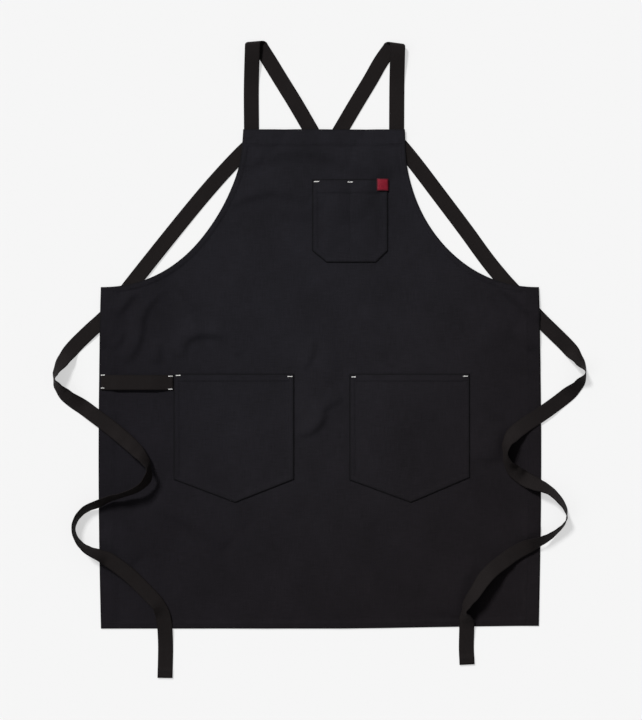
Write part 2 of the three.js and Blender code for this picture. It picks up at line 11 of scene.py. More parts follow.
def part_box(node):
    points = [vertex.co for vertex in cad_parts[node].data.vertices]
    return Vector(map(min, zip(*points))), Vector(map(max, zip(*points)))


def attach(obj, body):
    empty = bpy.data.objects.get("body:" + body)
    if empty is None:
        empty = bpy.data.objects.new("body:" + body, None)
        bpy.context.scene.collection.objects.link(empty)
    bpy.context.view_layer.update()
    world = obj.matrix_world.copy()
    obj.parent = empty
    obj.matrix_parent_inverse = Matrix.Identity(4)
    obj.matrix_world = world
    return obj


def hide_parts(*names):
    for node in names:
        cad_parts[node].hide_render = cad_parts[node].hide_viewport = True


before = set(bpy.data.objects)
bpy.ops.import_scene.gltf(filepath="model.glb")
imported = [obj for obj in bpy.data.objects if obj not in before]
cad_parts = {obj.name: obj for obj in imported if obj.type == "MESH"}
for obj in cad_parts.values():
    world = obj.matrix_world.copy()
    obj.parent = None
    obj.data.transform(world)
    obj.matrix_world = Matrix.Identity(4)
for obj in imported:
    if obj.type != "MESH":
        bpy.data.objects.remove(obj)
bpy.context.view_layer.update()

MM = 0.001

# Sizes of the apron, in millimetres. Its own places are measured from the middle of the hem.
SIDE_BOW = 4
BIB_WIDTH = 271.5
BIB_SIDE = 31
BIB_SIDE_FLARE = 1.5
BIB_DRIFT = 7
BIB_DRIFT_LENGTH = 190
HEM_LIFT = 4.5
ARMHOLE_DEPTH = 233.5
ARMHOLE_ACROSS_POWER = 2.2
ARMHOLE_DOWN_POWER = 1.62
CANVAS = 1.2
HEM_EXTRA = 1.0
SIDE_HEM = 23
ARMHOLE_HEM = 8
BOTTOM_HEM = 9
BIB_HEM = 25
BIB_SEAM_IN = 1.6
FOLD_RISE = 2.6
WEBBING_WIDTH = 25.4
WEBBING = 1.6
SHOULDER_REACH = 144
SHOULDER_BEND = 4.5
SHOULDER_TURN = 0.2
STRAP_INSET = 1.2
KEEPER_LENGTH = 110
KEEPER_INSET = 1
GAP = 0.3
TOWEL_LOOP_RISE = 4.5
POCKET_FULLNESS = 3.2
HIP_MOUTH_HEM = 13
CHEST_MOUTH_HEM = 23
MOUTH_SEAM_IN = 1.4
STRAP_END_HEM = 13
REST_GAP = 0.1
PATCH_GAP = 0.12

panel_low, panel_high = (np.array(corner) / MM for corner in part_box("apron_panel"))
ORIGIN = np.array([(panel_low[0] + panel_high[0]) / 2, panel_low[1], 0])
LENGTH = panel_high[1] - panel_low[1]
HALF_WIDTH = 367.75
BIB_SEAM = LENGTH - BIB_HEM + BIB_SEAM_IN
HALF_BIB = BIB_WIDTH / 2
ARMHOLE_TOP = LENGTH - BIB_SIDE
SKIRT = ARMHOLE_TOP - ARMHOLE_DEPTH
BIB_LENGTH = LENGTH - SKIRT
ARMHOLE_ACROSS = HALF_WIDTH - HALF_BIB - BIB_SIDE_FLARE
LAYER = WEBBING + GAP
SEWN_X = HALF_BIB - WEBBING_WIDTH / 2 - STRAP_INSET

# Soft folds of the laid canvas: x and y as shares of half the width and of the length,
# turn in degrees, long and wide as shares of the length, high as a share of FOLD_RISE.
CLOTH_FOLDS = [
    (-0.8, 0.62, -38, 0.09, 0.028, 1),
    (-0.72, 0.55, -30, 0.08, 0.026, 0.7),
    (0.82, 0.6, 40, 0.09, 0.028, 0.9),
    (0.02, 0.52, 82, 0.1, 0.024, 0.85),
    (-0.04, 0.43, 96, 0.07, 0.022, 0.7),
    (-0.22, 0.9, -12, 0.07, 0.03, 0.85),
    (0.2, 0.69, 8, 0.09, 0.03, 0.75),
    (-0.1, 0.13, 75, 0.09, 0.03, 0.6),
]

# Creases: how high, how wide on the steep side, and points of the line in millimetres. The steep
# side is on the right of the line's direction, and the other side is three times as wide.
CREASES = [
    (4.6, 5, [(-342, 526), (-325, 547), (-308, 566)]),
    (5.0, 6, [(-325, 448), (-305, 482), (-296, 529), (-265, 571)]),
    (3.4, 5, [(-344, 470), (-328, 505)]),
    (2.6, 5, [(-271, 446), (-272, 482)]),
    (4.2, 5.5, [(-233, 455), (-223, 485), (-185, 495), (-157, 488), (-137, 458)]),
    (2.2, 6, [(-198, 494), (-218, 526)]),
    (4.0, 13, [(-132, 765), (-101, 789), (-48, 804), (18, 796), (76, 778), (134, 773)]),
    (3.6, 9, [(-154, 711), (-119, 727), (-79, 736), (-18, 721)]),
    (3.2, 5.5, [(-31, 434), (-15, 460), (-12, 490)]),
    (4.4, 5.5, [(-39, 326), (-16, 331), (3, 351), (6, 369), (38, 390)]),
    (6.5, 5, [(298, 576), (336, 546), (367, 514)]),
    (4.0, 5, [(328, 504), (352, 466)]),
    (6.0, 13, [(-278, 213), (-205, 175), (-160, 136)]),
    (5.0, 14, [(226, 18), (230, 47), (241, 86), (256, 116)]),
    (5.0, 10, [(294, 280), (295, 312), (303, 343)]),
    (5.0, 12, [(326, 146), (354, 163), (371, 172)]),
    (5.0, 10, [(-368, 156), (-338, 133), (-312, 108)]),
]

# Strap routes, in legs that end at a fold, with each row's x and y measured from:
# shoulder: the strap's sewn line and the bib's top edge, in shares of SHOULDER_REACH;
# bib: the bib's centre line, in half bib widths, and down from its top edge, in bib lengths;
# skirt: the centre line, in half panel widths, and up from the hem, in skirt lengths.
# Then the degrees that the right-hand edge is raised, the webbing layers beneath,
# the height held as a share of the webbing's width, and whether it lies on the canvas.
RIGHT_STRAP_LEGS = [
    [
        ("shoulder", 0.003, 0.5, 0, 0, 0, "front"),
        ("shoulder", 0.01, 0.969, 0, 0, 0, "front"),
    ],
    [
        ("shoulder", -0.054, 0.975, 0, 0, 0, "front"),
        ("shoulder", -0.179, 0.8, 0, 0, 0, "front"),
        ("shoulder", -0.305, 0.58, 0, 0, 0, "front"),
        ("shoulder", -0.47, 0.306, 0, 0, 0, "back"),
        ("shoulder", -0.635, 0.026, 0, 0, 0, "back"),
        ("bib", -0.258, 0.434, 0, 0, 0, "back"),
    ],
    [
        ("bib", -0.258, 0.434, 0, 0, 0, "back"),
        ("bib", -0.428, 0.273, 0, 1, 0, "back"),
        ("bib", -0.593, 0.141, 0, 0, 0, "back"),
        ("bib", -0.768, 0.031, 0, 0, 0, "back"),
    ],
    [
        ("bib", -0.768, 0.031, 0, 0, 0, "back"),
        ("bib", -0.944, 0.116, 0, 1, 0, "back"),
        ("bib", -1.108, 0.202, 0, 0, 0, "back"),
        ("bib", -1.472, 0.424, 0, 0, 0, "back"),
        ("skirt", -0.858, 1.009, 0, 1, 0, "back"),
        ("skirt", -0.914, 0.962, 0, 1, 0, "back"),
        ("skirt", -0.973, 0.916, 0, 1, 0, "back"),
        ("skirt", -1.051, 0.87, 0, 1, 0, "back"),
        ("skirt", -1.127, 0.822, 0, 0, 0, "front"),
        ("skirt", -1.17, 0.786, -28, 0, 0, "front"),
        ("skirt", -1.202, 0.751, -61, 0, 0, "front"),
        ("skirt", -1.209, 0.731, -79, 0, 0, "front"),
        ("skirt", -1.195, 0.71, -55, 0, 0, "front"),
        ("skirt", -1.153, 0.68, -25, 0, 0, "front"),
        ("skirt", -1.073, 0.645, 0, 0, 0, "front"),
        ("skirt", -0.957, 0.59, 5, 0, 0, "front"),
        ("skirt", -0.895, 0.558, 16, 0, 0.03, "front"),
        ("skirt", -0.84, 0.527, 30, 0, 0.12, "front"),
        ("skirt", -0.796, 0.497, 58, 0, 0.3, "front"),
        ("skirt", -0.776, 0.471, 80, 0, 0.42, "front"),
        ("skirt", -0.782, 0.44, 60, 0, 0.5, "front"),
        ("skirt", -0.821, 0.414, 66, 0, 0.5, "front"),
        ("skirt", -0.9, 0.393, 70, 0, 0.3, "front"),
        ("skirt", -0.955, 0.383, 66, 0, 0.12, "front"),
        ("skirt", -1.009, 0.367, 58, 0, 0.05, "front"),
        ("skirt", -1.059, 0.354, 62, 0, 0, "front"),
        ("skirt", -1.092, 0.337, 70, 0, 0, "front"),
        ("skirt", -1.114, 0.315, 78, 0, 0, "front"),
        ("skirt", -1.121, 0.292, 85, 0, 0, "front"),
        ("skirt", -1.112, 0.27, 84, 0, 0, "front"),
        ("skirt", -1.087, 0.247, 76, 0, 0, "front"),
        ("skirt", -1.053, 0.231, 64, 0, 0, "front"),
        ("skirt", -1.005, 0.218, 50, 0, 0, "front"),
        ("skirt", -0.961, 0.203, 25, 0, 0, "front"),
        ("skirt", -0.87, 0.159, 20, 0, 0, "front"),
        ("skirt", -0.778, 0.101, 25, 0, 0, "front"),
        ("skirt", -0.735, 0.071, 34, 0, 0, "front"),
        ("skirt", -0.712, 0.03, 12, 0, 0, "front"),
        ("skirt", -0.705, -0.035, 0, 0, 0, "front"),
        ("skirt", -0.707, -0.144, 0, 0, 0, "front"),
    ],
]
LEFT_STRAP_LEGS = [
    [
        ("shoulder", -0.002, 0.5, 0, 0, 0, "front"),
        ("shoulder", 0.014, 0.985, 0, 0, 0, "front"),
    ],
    [
        ("shoulder", 0.086, 0.992, 0, 0, 0, "front"),
        ("shoulder", 0.208, 0.8, 0, 0, 0, "front"),
        ("shoulder", 0.339, 0.586, 0, 0, 0, "front"),
        ("shoulder", 0.511, 0.306, 0, 1, 0, "back"),
        ("shoulder", 0.674, 0.026, 0, 1, 0, "back"),
        ("bib", 0.165, 0.283, 0, 1, 0, "back"),
        ("bib", 0.356, 0.434, 0, 0, 0, "back"),
    ],
    [
        ("bib", 0.356, 0.434, 0, 0, 0, "back"),
        ("bib", 0.507, 0.273, 0, 1, 0, "back"),
        ("bib", 0.664, 0.141, 0, 0, 0, "back"),
        ("bib", 0.821, 0.031, 0, 0, 0, "back"),
    ],
    [
        ("bib", 0.821, 0.031, 0, 0, 0, "back"),
        ("bib", 0.971, 0.116, 0, 1, 0, "back"),
        ("bib", 1.117, 0.202, 0, 0, 0, "back"),
        ("bib", 1.469, 0.424, 0, 0, 0, "back"),
        ("skirt", 0.666, 1.166, 0, 0, 0, "back"),
        ("skirt", 0.766, 1.078, 0, 0, 0, "back"),
        ("skirt", 0.841, 1.019, 0, 1, 0, "back"),
        ("skirt", 0.896, 0.981, 0, 1, 0, "back"),
        ("skirt", 0.951, 0.942, 0, 1, 0, "back"),
        ("skirt", 1.01, 0.902, 0, 1, 0, "back"),
        ("skirt", 1.074, 0.862, 0, 1, 0, "back"),
        ("skirt", 1.138, 0.821, 0, 0, 0, "front"),
        ("skirt", 1.18, 0.786, 43, 0, 0, "front"),
        ("skirt", 1.21, 0.751, 82, 0, 0, "front"),
        ("skirt", 1.18, 0.715, 42, 0, 0, "front"),
        ("skirt", 1.121, 0.68, 8, 0, 0, "front"),
        ("skirt", 1.01, 0.628, 5, 0, 0, "front"),
        ("skirt", 0.939, 0.598, -2, 0, 0.03, "front"),
        ("skirt", 0.884, 0.571, -18, 0, 0.04, "front"),
        ("skirt", 0.849, 0.542, -60, 0, 0.02, "front"),
        ("skirt", 0.843, 0.513, -80, 0, 0.02, "front"),
        ("skirt", 0.856, 0.484, -62, 0, 0.02, "front"),
        ("skirt", 0.889, 0.46, -24, 0, 0, "front"),
        ("skirt", 0.938, 0.438, 4, 0, 0, "front"),
        ("skirt", 0.975, 0.427, 24, 0, 0.03, "front"),
        ("skirt", 1.01, 0.418, 44, 0, 0.06, "front"),
        ("skirt", 1.05, 0.404, 56, 0, 0, "front"),
        ("skirt", 1.09, 0.379, 62, 0, 0, "front"),
        ("skirt", 1.116, 0.354, 71, 0, 0, "front"),
        ("skirt", 1.124, 0.327, 85, 0, 0, "front"),
        ("skirt", 1.109, 0.306, 74, 0, 0, "front"),
        ("skirt", 1.082, 0.289, 68, 0, 0, "front"),
        ("skirt", 1.046, 0.272, 58, 0, 0, "front"),
        ("skirt", 1.011, 0.261, 50, 0, 0.08, "front"),
        ("skirt", 0.912, 0.231, 8, 0, 0.06, "front"),
        ("skirt", 0.83, 0.197, -8, 0, 0.28, "front"),
        ("skirt", 0.758, 0.16, -24, 0, 0.46, "front"),
        ("skirt", 0.702, 0.108, -44, 0, 0.28, "front"),
        ("skirt", 0.67, 0.078, -60, 0, 0.05, "front"),
        ("skirt", 0.655, 0.054, -80, 0, 0, "front"),
        ("skirt", 0.661, 0.035, -40, 0, 0, "front"),
        ("skirt", 0.669, 0.017, -10, 0, 0, "front"),
        ("skirt", 0.67, 0, 0, 0, 0, "front"),
        ("skirt", 0.669, -0.059, 0, 0, 0, "front"),
        ("skirt", 0.672, -0.105, 0, 0, 0, "front"),
    ],
]


def smooth(t):
    """An even rise from 0 to 1, level at both ends."""
    t = np.clip(t, 0, 1)
    return t * t * (3 - 2 * t)


def unit(vector):
    return vector / np.linalg.norm(vector)


def lengths_along(points):
    """The distance of each point from the first, along the line through them."""
    steps = np.linalg.norm(np.diff(points, axis=0), axis=1)
    return np.concatenate([[0], np.cumsum(steps)])


def uneven(x, y, wide, tall, seed):
    """Smooth noise between about -0.5 and 0.5 at places in millimetres."""
    spots = zip(np.ravel(x), np.ravel(y))
    made = [noise.noise(Vector((px / wide, py / tall, seed))) for px, py in spots]
    return np.reshape(made, np.shape(x))


def box_in_mm(node):
    low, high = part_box(node)
    return np.array(low) / MM - ORIGIN, np.array(high) / MM - ORIGIN


def drift(y):
    """How far the bib lies to the right of the skirt's middle."""
    return BIB_DRIFT * smooth((y - LENGTH + BIB_DRIFT_LENGTH) / BIB_DRIFT_LENGTH)


# Materials

def linear(hex_colour):
    """An sRGB hex colour as linear red, green, blue and alpha."""
    shares = [int(hex_colour[i : i + 2], 16) / 255 for i in (1, 3, 5)]
    return [s / 12.92 if s <= 0.04045 else ((s + 0.055) / 1.055) ** 2.4 for s in shares] + [1]


def add_node(tree, kind, inputs=None, **settings):
    """Adds a node. inputs sets its sockets by name or number, or links them to another's output."""
    made = tree.nodes.new(kind)
    for name, value in settings.items():
        setattr(made, name, value)
    for key, value in (inputs or {}).items():
        if isinstance(value, bpy.types.NodeSocket):
            tree.links.new(value, made.inputs[key])
        else:
            made.inputs[key].default_value = value
    return made


def math_node(tree, operation, *values):
    return add_node(tree, "ShaderNodeMath", dict(enumerate(values)), operation=operation).outputs[0]


def blend_colours(tree, share, first, second, how="MIX"):
    inputs = {"Factor": share, 6: first, 7: second}
    return add_node(tree, "ShaderNodeMix", inputs, data_type="RGBA", blend_type=how).outputs[2]


def start_material(name, roughness, specular, sheen, sheen_tint):
    material = bpy.data.materials.new(name)
    material.use_nodes = True
    shader = material.node_tree.nodes["Principled BSDF"]
    shader.inputs["Roughness"].default_value = roughness
    shader.inputs["Specular IOR Level"].default_value = specular
    shader.inputs["Sheen Weight"].default_value = sheen
    shader.inputs["Sheen Roughness"].default_value = 0.45
    shader.inputs["Sheen Tint"].default_value = linear(sheen_tint)
    return material, material.node_tree, shader


def flat_coordinates(tree):
    """The cloth's own flat coordinates, in metres, as a vector and as separate x and y."""
    flat = add_node(tree, "ShaderNodeUVMap", uv_map="flat").outputs[0]
    parts = add_node(tree, "ShaderNodeSeparateXYZ", {0: flat})
    return flat, parts.outputs[0], parts.outputs[1]


def wave(tree, value, period):
    """A sine of a length in metres, from -1 to 1, with that period in millimetres."""
    turned = math_node(tree, "MULTIPLY", value, 2 * math.pi / (period * MM))
    return math_node(tree, "SINE", turned)


def stretched_noise(tree, flat, grain, detail=2.0, rough=0.5):
    """Noise whose grains are about grain millimetres long along x and y."""
    scale = [1 / (g * MM) for g in grain] + [1]
    placed = add_node(tree, "ShaderNodeVectorMath", {0: flat, 1: scale}, operation="MULTIPLY").outputs[0]
    inputs = {"Vector": placed, "Scale": 1.0, "Detail": detail, "Roughness": rough}
    return add_node(tree, "ShaderNodeTexNoise", inputs).outputs["Fac"]


def bump(tree, height, distance, strength=1.0, under=None):
    inputs = {"Height": height, "Distance": distance * MM, "Strength": strength}
    if under is not None:
        inputs["Normal"] = under
    return add_node(tree, "ShaderNodeBump", inputs).outputs[0]


def canvas_material(name, dark, light, painted_falloff_tint, edge):
    """Cotton duck, plain woven, dyed black and washed: matt, with a fine crossed grain and slubs that
    run both ways. A painted pool of light makes it a little bluer and paler in an oval over its upper
    middle, and darker outside it. It is a touch browner towards the lower right, and painted shade
    darkens it along the edges of the canvas and pockets."""
    material, tree, shader = start_material(name, 0.92, 0.16, 0.05, "#8d8a96")
    flat, x, y = flat_coordinates(tree)
    # Real duck has a thread every 0.6 mm; it is drawn at 0.9 mm so that the grain just shows.
    thread = 0.9
    crossed = math_node(tree, "MULTIPLY", wave(tree, x, 2 * thread), wave(tree, y, 2 * thread))
    warp_slubs = stretched_noise(tree, flat, (1.1, 26))
    weft_slubs = stretched_noise(tree, flat, (22, 1.3))
    clouds = stretched_noise(tree, flat, (70, 95), 4.0, 0.6)
    grain = stretched_noise(tree, flat, (1.6, 1.6), 3.0, 0.7)
    slubs = math_node(tree, "ADD", warp_slubs, weft_slubs)
    tone = math_node(tree, "MULTIPLY_ADD", crossed, 0.09, math_node(tree, "MULTIPLY", slubs, 0.5))
    tone = math_node(tree, "MULTIPLY_ADD", grain, 0.3, math_node(tree, "SUBTRACT", tone, 0.15))
    tone = math_node(tree, "MULTIPLY_ADD", clouds, 0.55, math_node(tree, "SUBTRACT", tone, 0.275))
    tone = add_node(tree, "ShaderNodeMapRange", {0: tone, 1: 0.2, 2: 0.8}).outputs[0]
    dyed = blend_colours(tree, tone, linear(dark), linear(light))
    # Painted light: a pool of light over the front's upper middle, with the canvas darker outside it
    across = math_node(tree, "DIVIDE", x, LIGHT_POOL_ACROSS * MM)
    up = math_node(tree, "DIVIDE", math_node(tree, "SUBTRACT", y, LIGHT_POOL_MIDDLE * MM), LIGHT_POOL_UP * MM)
    spread_out = math_node(tree, "MULTIPLY_ADD", across, across, math_node(tree, "MULTIPLY", up, up))
    painted_falloff_share = add_node(
        tree,
        "ShaderNodeMapRange",
        {0: math_node(tree, "SQRT", spread_out), 1: 0.4, 2: 1.2},
        interpolation_type="SMOOTHSTEP",
    ).outputs[0]
    painted_falloff = blend_colours(tree, painted_falloff_share, dyed, linear(painted_falloff_tint), "MULTIPLY")
    lower_right = math_node(tree, "SUBTRACT", x, y)
    warmth = add_node(tree, "ShaderNodeMapRange", {0: lower_right, 1: -0.6, 2: 0.3}).outputs[0]
    warmed = blend_colours(tree, warmth, painted_falloff, linear("#fff1e4"), "MULTIPLY")
    # Painted shade along the edges of the canvas and pockets, read from the shade attribute
    painted_edge_shade = add_node(tree, "ShaderNodeAttribute", attribute_name="shade").outputs["Fac"]
    coloured = blend_colours(tree, painted_edge_shade, warmed, linear(edge))
    tree.links.new(coloured, shader.inputs["Base Color"])
    weave = bump(tree, crossed, 0.1, 0.7)
    threads = bump(tree, slubs, 0.22, 0.7, weave)
    tree.links.new(bump(tree, grain, 0.18, 0.6, threads), shader.inputs["Normal"])
    return material


def webbing_material():
    """Cotton webbing, woven as a heavy ribbed tape: rows of raised picks across, warp cords along,
    and a closed, slightly darker selvedge at both edges. It is a little browner and smoother than the
    canvas."""
    material, tree, shader = start_material("black_cotton_webbing_ribbed", 0.8, 0.09, 0.04, "#8f8484")
    flat, x, y = flat_coordinates(tree)
    cords = wave(tree, x, 2.1)
    picks = wave(tree, y, 1.9)
    weave = math_node(tree, "MULTIPLY_ADD", picks, 0.45, math_node(tree, "MULTIPLY", cords, picks))
    fibres = stretched_noise(tree, flat, (0.5, 5), 3.0, 0.65)
    shade = stretched_noise(tree, flat, (30, 60), 3.0)
    edge = math_node(tree, "ABSOLUTE", math_node(tree, "SUBTRACT", x, WEBBING_WIDTH / 2 * MM))
    selvedge = add_node(
        tree,
        "ShaderNodeMapRange",
        {0: edge, 1: (WEBBING_WIDTH / 2 - 2.2) * MM, 2: (WEBBING_WIDTH / 2 - 1.2) * MM},
    ).outputs[0]
    tone = math_node(tree, "MULTIPLY_ADD", weave, 0.12, math_node(tree, "MULTIPLY", fibres, 0.6))
    tone = math_node(tree, "MULTIPLY_ADD", shade, 0.5, math_node(tree, "SUBTRACT", tone, 0.05))
    dyed = blend_colours(tree, tone, linear("#161313"), linear("#231f1f"))
    edged = math_node(tree, "MULTIPLY", selvedge, 0.6)
    coloured = blend_colours(tree, edged, dyed, linear("#110e0e"))
    tree.links.new(coloured, shader.inputs["Base Color"])
    inner = math_node(tree, "SUBTRACT", 1.0, selvedge)
    raised = math_node(tree, "MULTIPLY", weave, inner)
    woven = bump(tree, raised, 0.16, 0.85)
    tree.links.new(bump(tree, fibres, 0.14, 0.6, woven), shader.inputs["Normal"])
    return material


def thread_material(name, colour, light, specular):
    """Spun polyester sewing thread: a plied yarn with a soft low gloss."""
    material, tree, shader = start_material(name, 0.65, specular, 0.03, "#ffffff")
    place = add_node(tree, "ShaderNodeTexCoord").outputs["Object"]
    inputs = {"Vector": place, "Scale": 1 / (1.4 * MM), "Detail": 2.0}
    plies = add_node(tree, "ShaderNodeTexNoise", inputs).outputs["Fac"]
    tree.links.new(blend_colours(tree, plies, linear(colour), linear(light)), shader.inputs["Base Color"])
    tree.links.new(bump(tree, plies, 0.08), shader.inputs["Normal"])
    return material


def tab_material():
    """Damask-woven polyester tape, red, with a closer darker edge all round."""
    material, tree, shader = start_material("red_woven_polyester_tape", 0.6, 0.3, 0.15, "#ff9aa8")
    flat, x, y = flat_coordinates(tree)
    ribs = math_node(tree, "MULTIPLY", wave(tree, x, 0.9), wave(tree, y, 0.7))
    shine = stretched_noise(tree, flat, (4, 1.2), 2.0)
    edge = add_node(tree, "ShaderNodeAttribute", attribute_name="shade").outputs["Fac"]
    face = blend_colours(tree, shine, linear("#7a0820"), linear("#920e2a"))
    framed = blend_colours(tree, edge, face, linear("#480414"))
    tree.links.new(framed, shader.inputs["Base Color"])
    tree.links.new(bump(tree, ribs, 0.08, 0.8), shader.inputs["Normal"])
    return material


# The painted pool of light on the front is an oval, with the canvas darker outside it: its half width,
# half height, and middle over the hem
LIGHT_POOL_ACROSS, LIGHT_POOL_UP, LIGHT_POOL_MIDDLE = 340, 520, 600

# The third colour tints the painted falloff outside the lit oval, and the fourth is the painted shade
# along edges
CANVAS_CLOTH = canvas_material("black_cotton_duck_washed", "#141317", "#222127", "#e0d8dc", "#040405")
WEBBING_TAPE = webbing_material()
BLACK_THREAD = thread_material("black_polyester_thread", "#0d0c0f", "#1a191d", 0.1)
WHITE_THREAD = thread_material("white_polyester_thread", "#c9c7c6", "#efeeec", 0.3)
RED_TAPE = tab_material()


# Closed bodies of cloth and webbing

def finished(name, made, material):
    """The object of a finished mesh."""
    mesh = bpy.data.meshes.new(name)
    made.to_mesh(mesh)
    made.free()
    mesh.materials.append(material)
    piece = bpy.data.objects.new(name, mesh)
    bpy.context.collection.objects.link(piece)
    return piece


def two_faces(x, y, base, thick, rounded):
    """The upper and lower grids of a sheet that thins evenly towards its round edges."""
    upper = np.stack([x, y, base + thick * (0.5 + 0.5 * rounded)], 2)
    lower = np.stack([x, y, base + thick * (0.5 - 0.5 * rounded)], 2)
    return upper, lower


def cloth_piece(name, upper, lower, flat, shade, material, node):
    """A closed sheet between two grids of points in millimetres, with its flat coordinates in mm.
    shade is how much painted shade darkens each point along edges, or on the tab the border's share."""
    rows, columns = upper.shape[:2]
    made = bmesh.new()
    bmesh.ops.create_grid(made, x_segments=columns - 1, y_segments=rows - 1, size=1)
    spot = made.verts.layers.int.new("spot")
    for vert in made.verts:
        column = round((vert.co.x + 1) / 2 * (columns - 1))
        row = round((vert.co.y + 1) / 2 * (rows - 1))
        vert[spot] = row * columns + column
    for face in made.faces:
        face.normal_flip()
    grown = bmesh.ops.extrude_face_region(made, geom=made.faces[:], use_keep_orig=True)
    raised = {element for element in grown["geom"] if isinstance(element, bmesh.types.BMVert)}
    above = (upper.reshape(-1, 3) + ORIGIN) * MM
    below = (lower.reshape(-1, 3) + ORIGIN) * MM
    for vert in made.verts:
        vert.co = (above if vert in raised else below)[vert[spot]]
    bmesh.ops.recalc_face_normals(made, faces=made.faces[:])
    uvs = made.loops.layers.uv.new("flat")
    places = flat.reshape(-1, 2) * MM
    for face in made.faces:
        face.smooth = True
        for loop in face.loops:
            loop[uvs].uv = places[loop.vert[spot]]
    spots = np.array([vert[spot] for vert in made.verts])
    piece = finished(name, made, material)
    shades = piece.data.attributes.new("shade", "FLOAT", "POINT")
    shades.data.foreach_set("value", shade.reshape(-1)[spots])
    piece.data.attributes.remove(piece.data.attributes["spot"])
    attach(piece, "root")
    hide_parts(node)
    return piece


# Strap routes

def route_point(row, side):
    """A row of a route in millimetres."""
    kind, x, y, lean, layers, held, lies = row
    if kind == "shoulder":
        place = (BIB_DRIFT + side * SEWN_X + x * SHOULDER_REACH, LENGTH + y * SHOULDER_REACH)
    elif kind == "bib":
        down = LENGTH - y * BIB_LENGTH
        place = (drift(down) + x * HALF_BIB, down)
    else:
        place = (x * HALF_WIDTH, y * SKIRT)
    return {"at": place, "lean": lean, "rise": layers * LAYER + held * WEBBING_WIDTH, "on": lies}


def through(points, per_span=60):
    """A smooth curve through points: a centripetal Catmull-Rom spline, densely sampled."""
    points = np.asarray(points, float)
    padded = np.vstack([2 * points[0] - points[1], points, 2 * points[-1] - points[-2]])
    curve, places = [], []
    for i in range(len(points) - 1):
        p0, p1, p2, p3 = padded[i : i + 4]
        d0, d1, d2 = (math.sqrt(math.dist(a, b)) for a, b in ((p0, p1), (p1, p2), (p2, p3)))
        m1 = ((p1 - p0) / d0 - (p2 - p0) / (d0 + d1) + (p2 - p1) / d1) * d1
        m2 = ((p2 - p1) / d1 - (p3 - p1) / (d1 + d2) + (p3 - p2) / d2) * d1
        for t in np.linspace(0, 1, per_span, endpoint=i == len(points) - 2):
            a = 2 * t**3 - 3 * t**2 + 1
            b = t**3 - 2 * t**2 + t
            curve.append(a * p1 + b * m1 + (1 - a) * p2 + (t**3 - t**2) * m2)
            places.append(i + t)
    return np.array(curve), np.array(places)


STATION = 4


def leg_stations(rows, side):
    """The webbing's cross sections along one leg of a route, about STATION millimetres apart."""
    curve, places = through([row["at"] for row in rows])
    reach = lengths_along(curve)
    count = max(2, round(reach[-1] / STATION))
    along = np.linspace(0, reach[-1], count + 1)
    x, y, place = (np.interp(along, reach, values) for values in (curve[:, 0], curve[:, 1], places))
    travel = np.gradient(np.stack([x, y], 1), axis=0)
    travel /= np.linalg.norm(travel, axis=1)[:, None]
    stations = []
    for i in range(count + 1):
        k = min(int(place[i]), len(rows) - 2)
        share = float(smooth(place[i] - k))
        stations.append(
            {
                "at": np.array([x[i], y[i]]),
                "travel": travel[i],
                "right": np.array([travel[i][1], -travel[i][0]]) * side,
                "side": side,
                "lean": rows[k]["lean"] * (1 - share) + rows[k + 1]["lean"] * share,
                "rise": rows[k]["rise"] * (1 - share) + rows[k + 1]["rise"] * share,
                "front": rows[k]["on"] == "front",
                "line": None,
            }
        )
    return stations


def turn_over(before, after, bend, turn):
    """The stations of a fold, where the webbing turns over a line between both legs' directions."""
    line = unit(before["right"] * (1 - turn) + after["right"] * turn)
    outward = np.array([-line[1], line[0]])
    if outward @ before["travel"] < 0:
        outward = -outward
    fold = []
    for angle in np.linspace(0, math.pi, 11)[1:-1]:
        share = (1 - math.cos(angle)) / 2
        made = {key: before[key] * (1 - share) + after[key] * share for key in ("at", "right", "rise")}
        made["at"] = made["at"] + outward * bend * math.sin(angle)
        made["right"] = unit(made["right"])
        fold.append({**before, **made, "line": line})
    return fold, line


def shear_towards(stations, place, line):
    """Turns the stations near a fold until their cross sections lie along its line."""
    for station in stations:
        near = float(smooth(1 - math.dist(station["at"], place) / WEBBING_WIDTH))
        if near > 0:
            station["line"] = unit(station["right"] * (1 - near) + line * near)


# The straps' folds in order: the size of the bend, how far its line turns towards the next leg,
# and whether the next leg lies on top
STRAP_FOLDS = [(SHOULDER_BEND, SHOULDER_TURN, False), (LAYER / 2, 0.5, True), (LAYER / 2, 0.5, True)]
SHEARED = 20
KEEPER_STATIONS = 30


def strap_stations(legs, side):
    """All cross sections of a strap, from its sewn end under the bib's hem to its free end."""
    sewn = BIB_DRIFT + side * SEWN_X
    sewn_in = {"lean": 0, "rise": 0, "on": "back"}
    stations, turned = [], 1
    for i, leg in enumerate(legs):
        rows = [route_point(row, side) for row in leg]
        if i == 0:
            rows = [{**sewn_in, "at": (sewn, y)} for y in (LENGTH - BIB_HEM, LENGTH)] + rows
        if i > 0 and STRAP_FOLDS[i - 1][2]:
            rows[0]["rise"] += 2 * STRAP_FOLDS[i - 1][0]
        if i < len(STRAP_FOLDS) and not STRAP_FOLDS[i][2]:
            rows[-1]["rise"] += 2 * STRAP_FOLDS[i][0]
        made = leg_stations(rows, turned)
        if i > 0:
            fold, line = turn_over(stations[-1], made[0], *STRAP_FOLDS[i - 1][:2])
            shear_towards(stations[-SHEARED:], stations[-1]["at"], line)
            shear_towards(made[:SHEARED], made[0]["at"], line)
            stations += fold
        stations += made
        turned = -turned
    return stations


def flat_station(x, y, right, rise=0, front=False):
    """A cross section of webbing that lies level."""
    place = {"at": np.array([x, y]), "right": np.array(right), "line": None}
    return {**place, "side": 1, "lean": 0, "rise": rise, "front": front}


